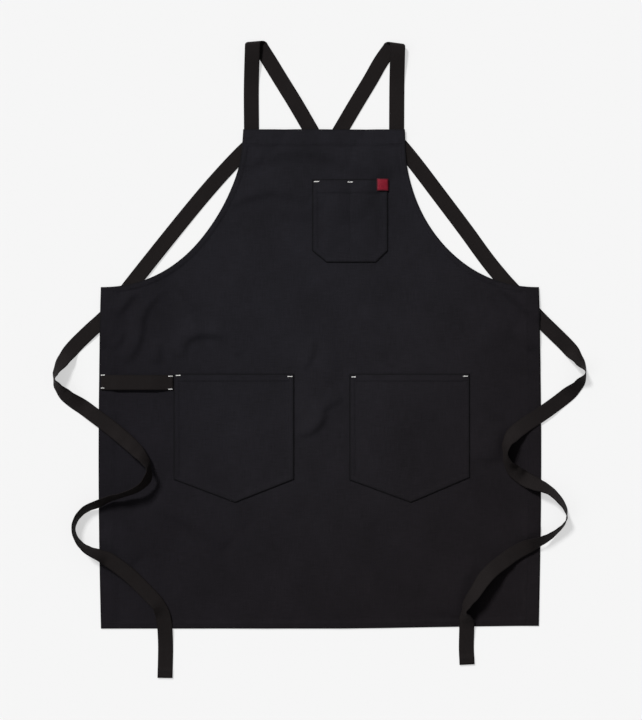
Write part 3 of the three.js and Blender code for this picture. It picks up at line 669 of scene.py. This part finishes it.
def keeper_stations(side):
    x = side * (HALF_WIDTH - KEEPER_INSET - WEBBING_WIDTH / 2)
    top = SKIRT - KEEPER_INSET
    downs = np.linspace(0, KEEPER_LENGTH, KEEPER_STATIONS)
    return [flat_station(x, top - down, (-1.0, 0)) for down in downs]


right_stations = strap_stations(RIGHT_STRAP_LEGS, 1)
left_stations = strap_stations(LEFT_STRAP_LEGS, -1)
keepers = {"left": keeper_stations(-1), "right": keeper_stations(1)}
# Places of the webbing beneath the canvas and the height of its top there; every second one does
covered = np.array(
    [
        (*station["at"], station["rise"] + LAYER)
        for station in [*right_stations, *left_stations, *keepers["left"], *keepers["right"]]
        if not station["front"]
    ]
)[::2]


# The canvas's outline and its height over the floor

def half_width(y):
    """Half the canvas's width at a height over the hem."""
    y = np.asarray(y, float)
    skirt = HALF_WIDTH + SIDE_BOW * np.sin(np.pi * np.clip(y, 0, SKIRT) / SKIRT)
    down = np.clip((ARMHOLE_TOP - y) / ARMHOLE_DEPTH, 0, 1)
    across = (1 - down**ARMHOLE_DOWN_POWER) ** (1 / ARMHOLE_ACROSS_POWER)
    armhole = HALF_WIDTH - ARMHOLE_ACROSS * across
    bib = HALF_BIB + BIB_SIDE_FLARE * (LENGTH - y) / BIB_SIDE
    return np.where(y <= SKIRT, skirt, np.where(y < ARMHOLE_TOP, armhole, bib))


def right_lift(x, y):
    """How much higher the hem's right end lies than its left."""
    return HEM_LIFT * smooth(x / HALF_WIDTH) * (1 - smooth(y / SKIRT))


def soft_folds(x, y):
    high = np.zeros(np.shape(x))
    for fold_x, fold_y, turn, long, wide, rise in CLOTH_FOLDS:
        turn = math.radians(turn)
        dx = x - fold_x * HALF_WIDTH
        dy = y - fold_y * LENGTH
        along = (dx * math.cos(turn) + dy * math.sin(turn)) / (long * LENGTH)
        aside = (dy * math.cos(turn) - dx * math.sin(turn)) / (wide * LENGTH)
        high += rise * FOLD_RISE * np.exp(-(along**2) - aside**2)
    return high


def cover_height(x, y):
    """How high the canvas is held by the webbing beneath it."""
    flat_reach = WEBBING_WIDTH / 2 + 5
    slope = 34
    shape = np.shape(x)
    x, y = np.ravel(x), np.ravel(y)
    high = np.zeros(x.shape)
    for px, py, top in covered:
        away = np.hypot(x - px, y - py) - flat_reach
        high = np.maximum(high, np.where(away < slope, top * (1 - smooth(away / slope)), 0))
    return high.reshape(shape)


def waviness(x, y):
    """Slight unevenness of pressed cloth that lies on a floor, never below it."""
    broad = uneven(x, y, 120, 150, 3.1)
    fine = uneven(x, y, 38, 46, 7.7)
    return np.maximum(0, 1.1 * broad + 0.6 * fine + 0.5)


def creased(x, y):
    """How much higher the canvas stands for the creases of the table."""
    spots = np.column_stack([np.ravel(x), np.ravel(y)])
    high = np.zeros(len(spots))
    for rise, steep, points in CREASES:
        line, _ = through(points, 6)
        nearest = np.full(len(spots), np.inf)
        ridge = np.zeros(len(spots))
        for i, (start, end) in enumerate(zip(line, line[1:])):
            step = end - start
            share = np.clip((spots - start) @ step / (step @ step), 0, 1)
            apart = spots - start - share[:, None] * step
            away = np.hypot(apart[:, 0], apart[:, 1])
            steep_side = step[0] * apart[:, 1] < step[1] * apart[:, 0]
            width = np.where(steep_side, steep, 3 * steep)
            taper = np.sqrt(np.sin(np.pi * np.clip((i + share) / (len(line) - 1), 0, 1)))
            ridge = np.where(away < nearest, rise * taper * np.exp(-((away / width) ** 2)), ridge)
            nearest = np.minimum(nearest, away)
        high += ridge
    return high.reshape(np.shape(x))


def canvas_under(x, y):
    """Height of the canvas's lower face."""
    laid = soft_folds(x, y) + waviness(x, y)
    return np.maximum(cover_height(x, y), laid) + creased(x, y)


def canvas_top(x, y):
    """Height of the canvas's upper face, or 0 beside it."""
    x, y = np.asarray(x, float), np.asarray(y, float)
    inside = half_width(y) - np.abs(x - drift(y))
    hem_width = np.where(y <= SKIRT, SIDE_HEM, ARMHOLE_HEM * 1.5)
    over_hem = y - right_lift(x, y)
    hem = (inside < hem_width) | (over_hem < BOTTOM_HEM) | (y > LENGTH - BIB_HEM)
    on_canvas = (inside >= 0) & (over_hem >= 0) & (y <= LENGTH)
    return np.where(on_canvas, canvas_under(x, y) + CANVAS + HEM_EXTRA * hem, 0)


# Threads

# Pitch in millimetres, the share of it that is free between stitches, and a stitch's width and height
STITCH_PITCH = 3.2
STITCH_APART = 0.12
STITCH_SIZE = (0.62, 0.5)


def tops_of(pieces):
    """Lookups of the pieces' surfaces, in scene units."""
    trees = []
    for piece in pieces:
        made = bmesh.new()
        made.from_mesh(piece.data)
        trees.append(BVHTree.FromBMesh(made))
        made.free()
    return trees


def highest(trees, x, y):
    """The highest place on the surfaces over a point in millimetres, and the way it faces."""
    above = Vector(((x + ORIGIN[0]) * MM, (y + ORIGIN[1]) * MM, 1))
    hits = [tree.ray_cast(above, Vector((0, 0, -1)))[:2] for tree in trees]
    hits = [hit for hit in hits if hit[0] is not None]
    return max(hits, key=lambda hit: hit[0].z) if hits else (None, None)


def lay_thread(made, trees, x, y, travel, size, detail=1):
    """Adds one thread of that length, width and height in millimetres, half sunk in the cloth."""
    place, facing = highest(trees, x, y)
    if place is not None:
        place_thread(made, place, facing, travel, size, detail)


def place_thread(made, place, facing, travel, size, detail):
    """Adds one thread at a place in scene units, on a surface that faces that way."""
    aside = facing.cross(Vector((travel[0], travel[1], 0))).normalized()
    ahead = aside.cross(facing)
    turned = Matrix((ahead, aside, facing)).transposed().to_4x4()
    sized = Matrix.Diagonal((*(value * MM / 2 for value in size), 1))
    matrix = Matrix.Translation(place) @ turned @ sized
    bmesh.ops.create_icosphere(made, subdivisions=detail, radius=1, matrix=matrix)


def thread_piece(name, made, material):
    for face in made.faces:
        face.smooth = True
    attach(finished(name, made, material), "root")


def add_stitches(name, seams, pieces):
    """Black lockstitches along lines of points in millimetres, on the top of the pieces."""
    trees = tops_of(pieces)
    made = bmesh.new()
    for seam in seams:
        seam = np.asarray(seam, float)
        reach = lengths_along(seam)
        count = max(1, round(reach[-1] / STITCH_PITCH))
        for k in range(count):
            ends = np.array([k + STITCH_APART / 2, k + 1 - STITCH_APART / 2]) * reach[-1] / count
            first, last = (np.array([np.interp(end, reach, seam[:, i]) for i in (0, 1)]) for end in ends)
            x, y = (first + last) / 2
            lay_thread(made, trees, x, y, last - first, (math.dist(first, last), *STITCH_SIZE))
    thread_piece(name, made, BLACK_THREAD)


# Canvas body

# The grid's cell in millimetres, its lines along the hem in shares of the hem's width, and the
# places of the hem's seams: a share of the width at the sides, millimetres up at the bottom
CELL = 4.5
HEM_STITCH = 0.93
HEM_SHARES = [1.5, 1.28, 1.1, 1.0, HEM_STITCH, 0.85, 0.5, 0.15, 0.04, 0]
HEM_SEAM_UP = 7.4


def armhole_point(angle):
    """A place on the armhole's curve, which is a quarter of a rounded oval."""
    across = ARMHOLE_ACROSS * math.cos(angle) ** (2 / ARMHOLE_ACROSS_POWER)
    down = ARMHOLE_DEPTH * math.sin(angle) ** (2 / ARMHOLE_DOWN_POWER)
    return HALF_WIDTH - across, ARMHOLE_TOP - down


ARMHOLE = np.array([armhole_point(angle) for angle in np.linspace(math.pi / 2, 0, 400)])
ARMHOLE_REACH = lengths_along(ARMHOLE)
ARMHOLE_LENGTH = ARMHOLE_REACH[-1]


def armhole_at(along):
    """A place on the armhole and the way into the cloth there."""
    behind, place, ahead = (
        np.array([np.interp(reach, ARMHOLE_REACH, ARMHOLE[:, i]) for i in (0, 1)])
        for reach in (along - 2, along, along + 2)
    )
    travel = unit(ahead - behind)
    return place, np.array([-travel[1], travel[0]])


def hem_line(share):
    """Points on the line that runs a share of the hem's width inside the outline."""
    corner_in = SIDE_HEM * share
    first, inward = armhole_at(corner_in)
    corner_y = first[1] + inward[1] * ARMHOLE_HEM * share
    points = []
    for y in SIDE_ROWS:
        points.append((half_width(y) - corner_in, y * corner_y / SKIRT))
    for along in ARMHOLE_ROWS:
        moved = corner_in + along * (ARMHOLE_LENGTH - corner_in) / ARMHOLE_LENGTH
        place, inward = armhole_at(moved)
        points.append(place + inward * ARMHOLE_HEM * share)
    for y in BIB_ROWS:
        points.append((half_width(y) - ARMHOLE_HEM * share, y))
    return np.array(points)


def spread(start, end, cell):
    """Even places between start and end, without both."""
    return list(np.linspace(start, end, round((end - start) / cell) + 1)[1:-1])


BOTTOM_ROWS = [0, 0.6, 2, 5, HEM_SEAM_UP, BOTTOM_HEM, BOTTOM_HEM + 1.2, BOTTOM_HEM + 4]
SIDE_ROWS = BOTTOM_ROWS + spread(BOTTOM_ROWS[-1], SKIRT, CELL)
ARMHOLE_ROWS = [0.0] + spread(0, ARMHOLE_LENGTH, CELL) + [ARMHOLE_LENGTH]
TOP_ROWS = [BIB_HEM + 3, BIB_HEM + 1, BIB_HEM, BIB_HEM - BIB_SEAM_IN, 20, 14, 8, 4, 2, 0.6, 0]
BIB_ROWS = [LENGTH - down for down in TOP_ROWS]


def canvas_grid():
    """Each point of the canvas with the share of its hem, and its distance from the top and bottom."""
    edge = hem_line(0)
    inner = hem_line(HEM_SHARES[0])
    reach = lengths_along(edge)
    first, last = len(BOTTOM_ROWS) - 1, len(edge) - len(TOP_ROWS)
    middle = np.interp(reach, [reach[first], reach[last]], [edge[first, 1], edge[last, 1]])
    middle[:first] = edge[:first, 1]
    middle[last:] = edge[last:, 1]
    steps = round(HALF_WIDTH / CELL)
    columns = []
    for k in range(steps):
        share = k / steps
        x = inner[:, 0] * share
        columns.append((x, middle + (inner[:, 1] - middle) * share**2, 2.0))
    for share in HEM_SHARES:
        line = hem_line(share)
        columns.append((line[:, 0], line[:, 1], share))
    half_x = np.stack([c[0] for c in columns], 1)
    half_y = np.stack([c[1] for c in columns], 1)
    half_hem = np.tile([c[2] for c in columns], (len(edge), 1))
    x = np.hstack([-half_x[:, :0:-1], half_x])
    y = np.hstack([half_y[:, :0:-1], half_y])
    hem = np.hstack([half_hem[:, :0:-1], half_hem])
    return x + drift(y), y, hem


def bump_line(distance, width):
    """1 on a line, and less to both sides."""
    return np.exp(-((distance / width) ** 2))


def edge_shares(distance):
    """How much of its full height cloth has near a turned edge, which is round."""
    return np.sqrt(np.clip(1 - (1 - np.clip(distance / 1.1, 0, 1)) ** 2, 0.02, 1))


x, y, hem = canvas_grid()
placed_y = y + right_lift(x, y)
under = canvas_under(x, placed_y)
side_in = np.where(hem < 1.6, hem, 9) * np.where(y < SKIRT - 1, SIDE_HEM, ARMHOLE_HEM)
edge_in = np.minimum(side_in, np.minimum(y, LENGTH - y))
hemmed = (hem <= 1.0) | (y <= BOTTOM_HEM) | (y >= LENGTH - BIB_HEM)
stitched = bump_line((hem - HEM_STITCH) * SIDE_HEM, 1.2)
stitched = np.maximum(stitched, bump_line(y - HEM_SEAM_UP, 1.2) * (np.abs(x) < HALF_WIDTH))
stitched = np.maximum(stitched, bump_line(BIB_SEAM - y, 1.2))
pucker = 0.34 * uneven(x, y, 7, 7, 1.3) * hemmed
doubled = np.maximum(smooth((1.3 - hem) / 0.3), smooth((BOTTOM_HEM + 4 - y) / 4))
doubled = np.maximum(doubled, smooth((y - LENGTH + BIB_HEM + 3) / 3))
thick = CANVAS + HEM_EXTRA * doubled + pucker * np.clip(edge_in / 3, 0, 1) - 0.12 * stitched
upper, lower = two_faces(x, placed_y, under, thick, edge_shares(edge_in))
# Painted shade along the canvas's outer edges
shade = 0.7 * bump_line(edge_in, 1.6)
canvas_body = cloth_piece(
    "canvas_body", upper, lower, np.stack([x, y], 2), shade, CANVAS_CLOTH, "apron_panel"
)


hem_seam = hem_line(HEM_STITCH)[4:-5]
bottom_x = np.linspace(3 - HALF_WIDTH, HALF_WIDTH - 3, 60)
top_x = np.linspace(3 - HALF_BIB, HALF_BIB - 3, 30) + BIB_DRIFT
canvas_seams = [
    [(side * px + drift(py), py + right_lift(side * px, py)) for px, py in hem_seam] for side in (-1, 1)
]
canvas_seams.append([(px, HEM_SEAM_UP + right_lift(px, 0)) for px in bottom_x])
canvas_seams.append([(px, BIB_SEAM) for px in top_x])
for side in (-1, 1):
    # Along the strap's end under the bib's hem and a little up its inner side
    sewn, half, end = BIB_DRIFT + side * SEWN_X, WEBBING_WIDTH / 2 - 1, LENGTH - BIB_HEM
    canvas_seams.append([(sewn - half, end + 0.8), (sewn + half, end + 0.8)])
    canvas_seams.append([(sewn - side * half, end + inset) for inset in (0.8, 8)])
    # Across both ends of the keeper
    middle = side * (HALF_WIDTH - KEEPER_INSET - WEBBING_WIDTH / 2)
    for down in (KEEPER_INSET + 5, KEEPER_LENGTH - 5, KEEPER_LENGTH - 8):
        canvas_seams.append([(middle - 12, SKIRT - down), (middle + 12, SKIRT - down)])
add_stitches("canvas_hem_stitches", canvas_seams, [canvas_body])


# Webbing pieces

# Places across the webbing, in shares of half its width, and its thickness there
ACROSS = np.array([-1, -0.965, -0.86, -0.6, -0.3, 0, 0.3, 0.6, 0.86, 0.965, 1])
EDGE_THICKNESS = np.array([0.35, 0.85, 1.04, 1, 0.98, 1, 0.98, 1, 1.04, 0.85, 0.35])


def webbing_rest(stations):
    """Seats the stations that lie on the canvas over its highest part near them."""
    reach = np.array([math.cos(math.radians(s["lean"])) * WEBBING_WIDTH / 2 for s in stations])
    places = np.array([s["at"] for s in stations])
    rights = np.array([s["right"] for s in stations])
    front = np.array([s["front"] for s in stations])
    high = np.zeros(len(stations))
    for share in (-1, -0.5, 0, 0.5, 1):
        spots = places + rights * (share * reach)[:, None]
        high = np.maximum(high, canvas_top(spots[:, 0], spots[:, 1]))
    high = np.where(front & (high > 0), high + REST_GAP, 0)
    near = 4
    wide = np.pad(high, near, mode="edge")
    dilated = np.array([wide[i : i + 2 * near + 1].max() for i in range(len(high))])
    wide = np.pad(dilated, near, mode="edge")
    weights = np.hanning(2 * near + 3)[1:-1]
    eased = np.array([wide[i : i + 2 * near + 1] @ weights / weights.sum() for i in range(len(high))])
    return np.where(front, np.maximum(eased, high), 0)


def webbing_surfaces(stations, seat, thickness):
    """Both faces of webbing, its flat coordinates and its reach along the middle, in millimetres."""
    leans = np.radians([s["lean"] for s in stations])
    rises = np.array([s["rise"] for s in stations])
    z = seat + rises + (np.abs(np.sin(leans)) * WEBBING_WIDTH + np.cos(leans) * WEBBING) / 2
    centres = np.column_stack([np.array([s["at"] for s in stations]), z])
    travel = np.gradient(centres, axis=0)
    travel /= np.linalg.norm(travel, axis=1)[:, None]
    upper = np.zeros((len(stations), len(ACROSS), 3))
    lower = upper.copy()
    for i, station in enumerate(stations):
        flat = station["right"] if station["line"] is None else station["line"]
        half = WEBBING_WIDTH / 2 / max(0.5, flat @ station["right"])
        across = np.array([*(flat * math.cos(leans[i])), station["side"] * math.sin(leans[i])])
        normal = unit(np.cross(across, travel[i]))
        line = centres[i] + np.outer(ACROSS * half, across)
        lift = np.outer(EDGE_THICKNESS * thickness[i] / 2, normal)
        upper[i] = line + lift
        lower[i] = line - lift
    reach = lengths_along(centres)
    flat_x = np.tile((ACROSS + 1) * WEBBING_WIDTH / 2, (len(stations), 1))
    flat_y = np.tile(reach[:, None], (1, len(ACROSS)))
    return upper, lower, np.stack([flat_x, flat_y], 2), reach


def webbing_piece(name, stations, seat, thickness, node):
    upper, lower, flat, reach = webbing_surfaces(stations, seat, thickness)
    shade = np.zeros(upper.shape[:2])
    piece = cloth_piece(name, upper, lower, flat, shade, WEBBING_TAPE, node)
    return piece, reach[-1]


for side, stations in (("right", right_stations), ("left", left_stations)):
    seat = webbing_rest(stations)
    reach = lengths_along(np.array([s["at"] for s in stations]))
    doubled = 1 + 1.1 * (reach[-1] - reach < STRAP_END_HEM)
    seat = seat + WEBBING * (doubled - 1) / 2
    name = f"webbing_strap_{side}"
    piece, length = webbing_piece(name, stations, seat, WEBBING * doubled, f"strap_{side}")
    last = stations[-1]
    across = last["right"] * (WEBBING_WIDTH / 2 - 2)
    seams = []
    for inset in (1.6, 4):
        middle = last["at"] - last["travel"] * (STRAP_END_HEM - inset)
        seams.append([middle - across, middle + across])
    add_stitches(f"{name}_stitches", seams, [piece])

for side, stations in keepers.items():
    downs = np.linspace(0, KEEPER_LENGTH, len(stations))
    ends = smooth(1 - np.minimum(downs, KEEPER_LENGTH - downs) / 7)
    places = np.array([s["at"] for s in stations])
    spots = [canvas_under(places[:, 0] + dx, places[:, 1]) for dx in (-12, 0, 12)]
    seat = ends * np.clip(np.min(spots, axis=0) - LAYER, 0, None)
    thickness = np.full(len(stations), WEBBING)
    piece, length = webbing_piece(
        f"webbing_keeper_{side}", stations, seat, thickness, f"strap_keeper_{side}"
    )


# Towel loop

LOOP_STATIONS = 40

loop_low, loop_high = box_in_mm("towel_loop")
loop_middle = (loop_low[1] + loop_high[1]) / 2
loop_stations = []
for share in np.linspace(0, 1, LOOP_STATIONS):
    loop_x = loop_low[0] + share * (loop_high[0] - loop_low[0])
    rise = float(TOWEL_LOOP_RISE * smooth(min(share, 1 - share) * 3.2))
    loop_stations.append(flat_station(loop_x, loop_middle, (0, -1.0), rise, front=True))
thickness = np.full(LOOP_STATIONS, WEBBING)
loop_piece, loop_length = webbing_piece(
    "towel_loop_tape", loop_stations, webbing_rest(loop_stations), thickness, "towel_loop"
)


# Patch pockets

def patch_lines(size, kinks, offsets, cell):
    """Grid lines from 0 to size, closer together at both edges and at each kink."""
    lines = set(kinks)
    for offset in offsets:
        lines.update((offset, size - offset))
    lines.update(spread(offsets[-1], size - offsets[-1], cell))
    ordered = sorted(lines)
    kept = [ordered[0]]
    for line in ordered[1:]:
        if line - kept[-1] > 0.35:
            kept.append(line)
        elif line in kinks:
            kept[-1] = line
    return np.array(kept)


# Grid lines beside the pockets' edges, and the two seams along them
EDGE_OFFSETS = [0, 0.5, 1.2, 2, 3, 7, 8.5, 10]
SEAM_OFFSETS = (2.4, 8.4)

# The pockets are cut from another place of the canvas: shift in millimetres, and turn in radians
PATCH_SHIFT = (31, 17)
PATCH_TURN = 0.02


def offset_seam(low, high, across, bottom, slant, offset):
    """A seam down one side, along the lower edge and up the other side, so far inside them."""
    inside = (across > offset + 0.1) & (across < across[-1] - offset - 0.1)
    spots = zip(across[inside], bottom[inside], slant[inside])
    lower = [(low[0] + a, b + offset * s) for a, b, s in spots]
    return [(low[0] + offset, high[1] - 2), *lower, (high[0] - offset, high[1] - 2)]


def patch_pocket(name, node, edge_across, edge_down, mouth_hem, compartments):
    """A patch whose lower edge runs through points in shares of its half width and its depth."""
    low, high = box_in_mm(node)
    width, depth = high[0] - low[0], high[1] - low[1]
    kinks = [width * (share + 1) / 2 for share in edge_across]
    if compartments == 2:
        kinks += [width / 2, width / 2 - 1.5, width / 2 + 1.5]
    across = patch_lines(width, kinks, EDGE_OFFSETS, 4)
    mouth_kinks = [mouth_hem, mouth_hem - MOUTH_SEAM_IN, mouth_hem + MOUTH_SEAM_IN]
    down = patch_lines(depth, mouth_kinks, EDGE_OFFSETS, 4)
    lower_edge = np.interp(across / width * 2 - 1, edge_across, edge_down)
    x = np.tile(low[0] + across, (len(down), 1))
    # Rows near the mouth keep their distance from it, and the others run beside the lower edge
    follow = smooth((down[:, None] - mouth_hem - 6) / (depth * 0.5))
    bottom = high[1] - depth * lower_edge[None, :]
    slant = np.sqrt(1 + (np.gradient(bottom[0], across) ** 2))[None, :]
    beside = bottom + (depth - down[:, None]) * slant
    y = (high[1] - down[:, None]) * (1 - follow) + beside * follow
    share = (down / depth)[:, None]
    place = (across / width * compartments) % 1
    swell = 4 * place * (1 - place)
    full = swell[None, :] * (1 - share**1.6) * POCKET_FULLNESS
    side_in = np.minimum(across, width - across)[None, :]
    bottom_in = (y - bottom) / slant
    mouth_in = high[1] - y
    edge_in = np.minimum(np.minimum(side_in, bottom_in), mouth_in)
    sewn_in = np.minimum(side_in, bottom_in)
    turned = smooth((9.5 - sewn_in) / 2)
    mouth = smooth((mouth_hem + 0.7 - mouth_in) / 1.4)
    outer, inner = (bump_line(sewn_in - offset, 0.9) for offset in SEAM_OFFSETS)
    stitched = np.maximum(outer, inner * 0.7)
    stitched = np.maximum(stitched, bump_line(mouth_in - mouth_hem + MOUTH_SEAM_IN, 1.0))
    if compartments == 2:
        middle = bump_line(across - width / 2, 1.1)[None, :] * (mouth_in > 2)
        stitched = np.maximum(stitched, middle)
    pucker = 0.3 * uneven(x, y, 6, 6, 5.3) * bump_line(sewn_in - 5, 5)
    thick = CANVAS + 0.8 * np.maximum(turned, mouth) + pucker - 0.15 * stitched
    base = canvas_top(x, y) + PATCH_GAP + full
    upper, lower = two_faces(x, y, base, thick, edge_shares(edge_in))
    # Painted shade along the pocket's edges and its mouth
    shade = bump_line(edge_in, 1.6)
    straight, slanted = math.cos(PATCH_TURN), math.sin(PATCH_TURN)
    flat_x = x * straight - y * slanted + PATCH_SHIFT[0]
    flat_y = y * straight + x * slanted + PATCH_SHIFT[1]
    flat = np.stack([flat_x, flat_y], 2)
    piece = cloth_piece(name, upper, lower, flat, shade, CANVAS_CLOTH, node)
    mouth_seam = high[1] - mouth_hem + MOUTH_SEAM_IN
    seams = [offset_seam(low, high, across, bottom[0], slant[0], offset) for offset in SEAM_OFFSETS]
    seams.append([(low[0] + 3, mouth_seam), (high[0] - 3, mouth_seam)])
    if compartments == 2:
        middle = (low[0] + high[0]) / 2
        seams.append([(middle, high[1] - 3), (middle, high[1] - depth + 3)])
    add_stitches(f"{name}_stitches", seams, [piece])
    return piece


# Lower edges: shares of the half width, and of the depth
LEFT_POINT = ((-1, 0.02, 1), (0.82, 1, 0.82))
RIGHT_POINT = ((-1, 0.02, 1), (0.825, 1, 0.805))
CHAMFERED = ((-1, -0.62, 0.68, 1), (0.86, 1, 1, 0.86))
patch_pocket("hip_patch_left", "hip_pocket_left", *LEFT_POINT, HIP_MOUTH_HEM, 1)
patch_pocket("hip_patch_right", "hip_pocket_right", *RIGHT_POINT, HIP_MOUTH_HEM, 1)
chest_patch = patch_pocket("chest_patch", "chest_pocket", *CHAMFERED, CHEST_MOUTH_HEM, 2)


# Bartacks

# The middle's x and y, and the length, in millimetres
BARTACKS = [
    (-5.7, 750.3, 9),
    (50.7, 749.3, 8.6),
    (-237.6, 425.2, 7.7),
    (-50.1, 423.4, 8.2),
    (56.6, 422.7, 7.1),
    (244.4, 423.9, 7.9),
    (-364.2, 425.7, 6.4),
    (-364.5, 404, 6),
    (-250.9, 423.9, 6.9),
    (-250.9, 402.2, 6.9),
]
BARTACKED = ["chest_patch", "hip_patch_left", "hip_patch_right", "towel_loop_tape", "canvas_body"]
BARTACK_WIDTH = 2
BARTACK_THREAD = (0.66, 0.7)
BARTACK_PITCH = 0.55
BARTACK_LIFT = 0.25
BARTACK_SLANT = (0.22, 1)


def add_bartacks():
    """White bars of closely laid threads, a little uneven and slanted."""
    trees = tops_of([bpy.data.objects[name] for name in BARTACKED])
    made = bmesh.new()
    for x, y, length in BARTACKS:
        count = round(length / BARTACK_PITCH)
        for k in range(count):
            px = x + (k + 0.5 - count / 2) * BARTACK_PITCH
            stray = noise.noise(Vector((px * 3.1, y * 1.7, 2.2)))
            size = (BARTACK_WIDTH + 0.5 * stray, *BARTACK_THREAD)
            py = y + 0.25 * stray
            # A bar lies over the highest cloth that it crosses
            middle, *ends = (highest(trees, px, py + aside)[0] for aside in (0, -0.9, 0.9))
            over = max(hit.z for hit in (middle, *ends)) + BARTACK_LIFT * MM
            place = Vector((middle.x, middle.y, over))
            place_thread(made, place, Vector((0, 0, 1)), BARTACK_SLANT, size, 2)
    thread_piece("bartacks", made, WHITE_THREAD)


add_bartacks()


# Red tab

TAB_EDGE = 1.5
TAB_LINES = [0, 0.4, 0.9, TAB_EDGE, TAB_EDGE + 0.4]
TAB_CELL = 1.6


def add_tab():
    """The tab follows the pocket's corner beneath it and hangs a little over its edge."""
    trees = tops_of([chest_patch, canvas_body])
    low, high = box_in_mm("pocket_tab")
    across, down = (patch_lines(high[i] - low[i], [TAB_EDGE], TAB_LINES, TAB_CELL) for i in (0, 1))
    x, y = np.meshgrid(low[0] + across, low[1] + down)
    tops = [highest(trees, px, py)[0].z / MM for px, py in zip(x.flat, y.flat)]
    rows, columns = x.shape
    near = np.pad(np.reshape(tops, x.shape), 3, mode="edge")
    # The stiff tape lies over the highest cloth within three lines of each place
    seat = np.max([near[i : i + rows, k : k + columns] for i in range(7) for k in range(7)], axis=0)
    edge_in = np.minimum(np.minimum(x - low[0], high[0] - x), np.minimum(y - low[1], high[1] - y))
    thick = 1 - 0.2 * bump_line(edge_in - TAB_EDGE, 0.4)
    upper, lower = two_faces(x, y, seat + REST_GAP, thick, edge_shares(edge_in))
    border = smooth((TAB_EDGE + 0.2 - edge_in) / 0.4)
    piece = cloth_piece(
        "red_tab", upper, lower, np.stack([x, y], 2), border, RED_TAPE, "pocket_tab"
    )


add_tab()


# The floor, the light and the camera

FLOOR_GLOW = 0.554
FLOOR_SIZE = 30
FLOOR_DROP = 0.0002
WORLD_LIGHT = 0.2


def stage_floor():
    """A bright sweep that gives some of its own light, so that shadows on it stay faint."""
    material = bpy.data.materials.new("matt_white_paper_sweep")
    material.use_nodes = True
    shader = material.node_tree.nodes["Principled BSDF"]
    shader.inputs["Base Color"].default_value = linear("#aaaaaa")
    shader.inputs["Emission Color"].default_value = linear("#ffffff")
    shader.inputs["Emission Strength"].default_value = FLOOR_GLOW
    shader.inputs["Roughness"].default_value = 1
    shader.inputs["Specular IOR Level"].default_value = 0
    made = bmesh.new()
    bmesh.ops.create_grid(made, x_segments=1, y_segments=1, size=FLOOR_SIZE)
    floor = finished("floor", made, material)
    floor.location.z = -FLOOR_DROP


def add_sun(name, azimuth, elevation, strength, softness):
    """A broad soft light from that side of the picture, where azimuth 0 is right and 90 is the top.
    softness is the width of the light in degrees."""
    data = bpy.data.lights.new(name, "SUN")
    data.energy = strength
    data.angle = math.radians(softness)
    sun = bpy.data.objects.new(name, data)
    a, e = math.radians(azimuth), math.radians(elevation)
    towards = Vector((math.cos(a) * math.cos(e), math.sin(a) * math.cos(e), math.sin(e)))
    sun.rotation_euler = towards.to_track_quat("Z", "Y").to_euler()
    bpy.context.collection.objects.link(sun)


def light_room():
    world = bpy.data.worlds.new("soft_room")
    bpy.context.scene.world = world
    world.use_nodes = True
    background = world.node_tree.nodes["Background"]
    background.inputs["Color"].default_value = linear("#ffffff")
    background.inputs["Strength"].default_value = WORLD_LIGHT
    add_sun("key", 126, 46, 2.85, 12)
    add_sun("fill", 200, 40, 0.3, 40)
    bpy.context.scene.view_settings.view_transform = "Standard"


# The camera looks straight down. Its frame is as high as the photo's 720 pixels of 1.68 mm, and its
# place is in the apron's own millimetres.
FRAME_HEIGHT = 720 * 1.68
SENSOR = 24
CAMERA_PLACE = (1.85, 451.1)
CAMERA_HEIGHT = 3.0


def place_camera():
    data = bpy.data.cameras.new("camera")
    data.sensor_fit = "VERTICAL"
    data.sensor_height = SENSOR
    data.lens = SENSOR * CAMERA_HEIGHT / (FRAME_HEIGHT * MM)
    camera = bpy.data.objects.new("camera", data)
    camera.location = (*((ORIGIN[:2] + CAMERA_PLACE) * MM), CAMERA_HEIGHT)
    bpy.context.collection.objects.link(camera)
    bpy.context.scene.camera = camera


stage_floor()
light_room()
place_camera()
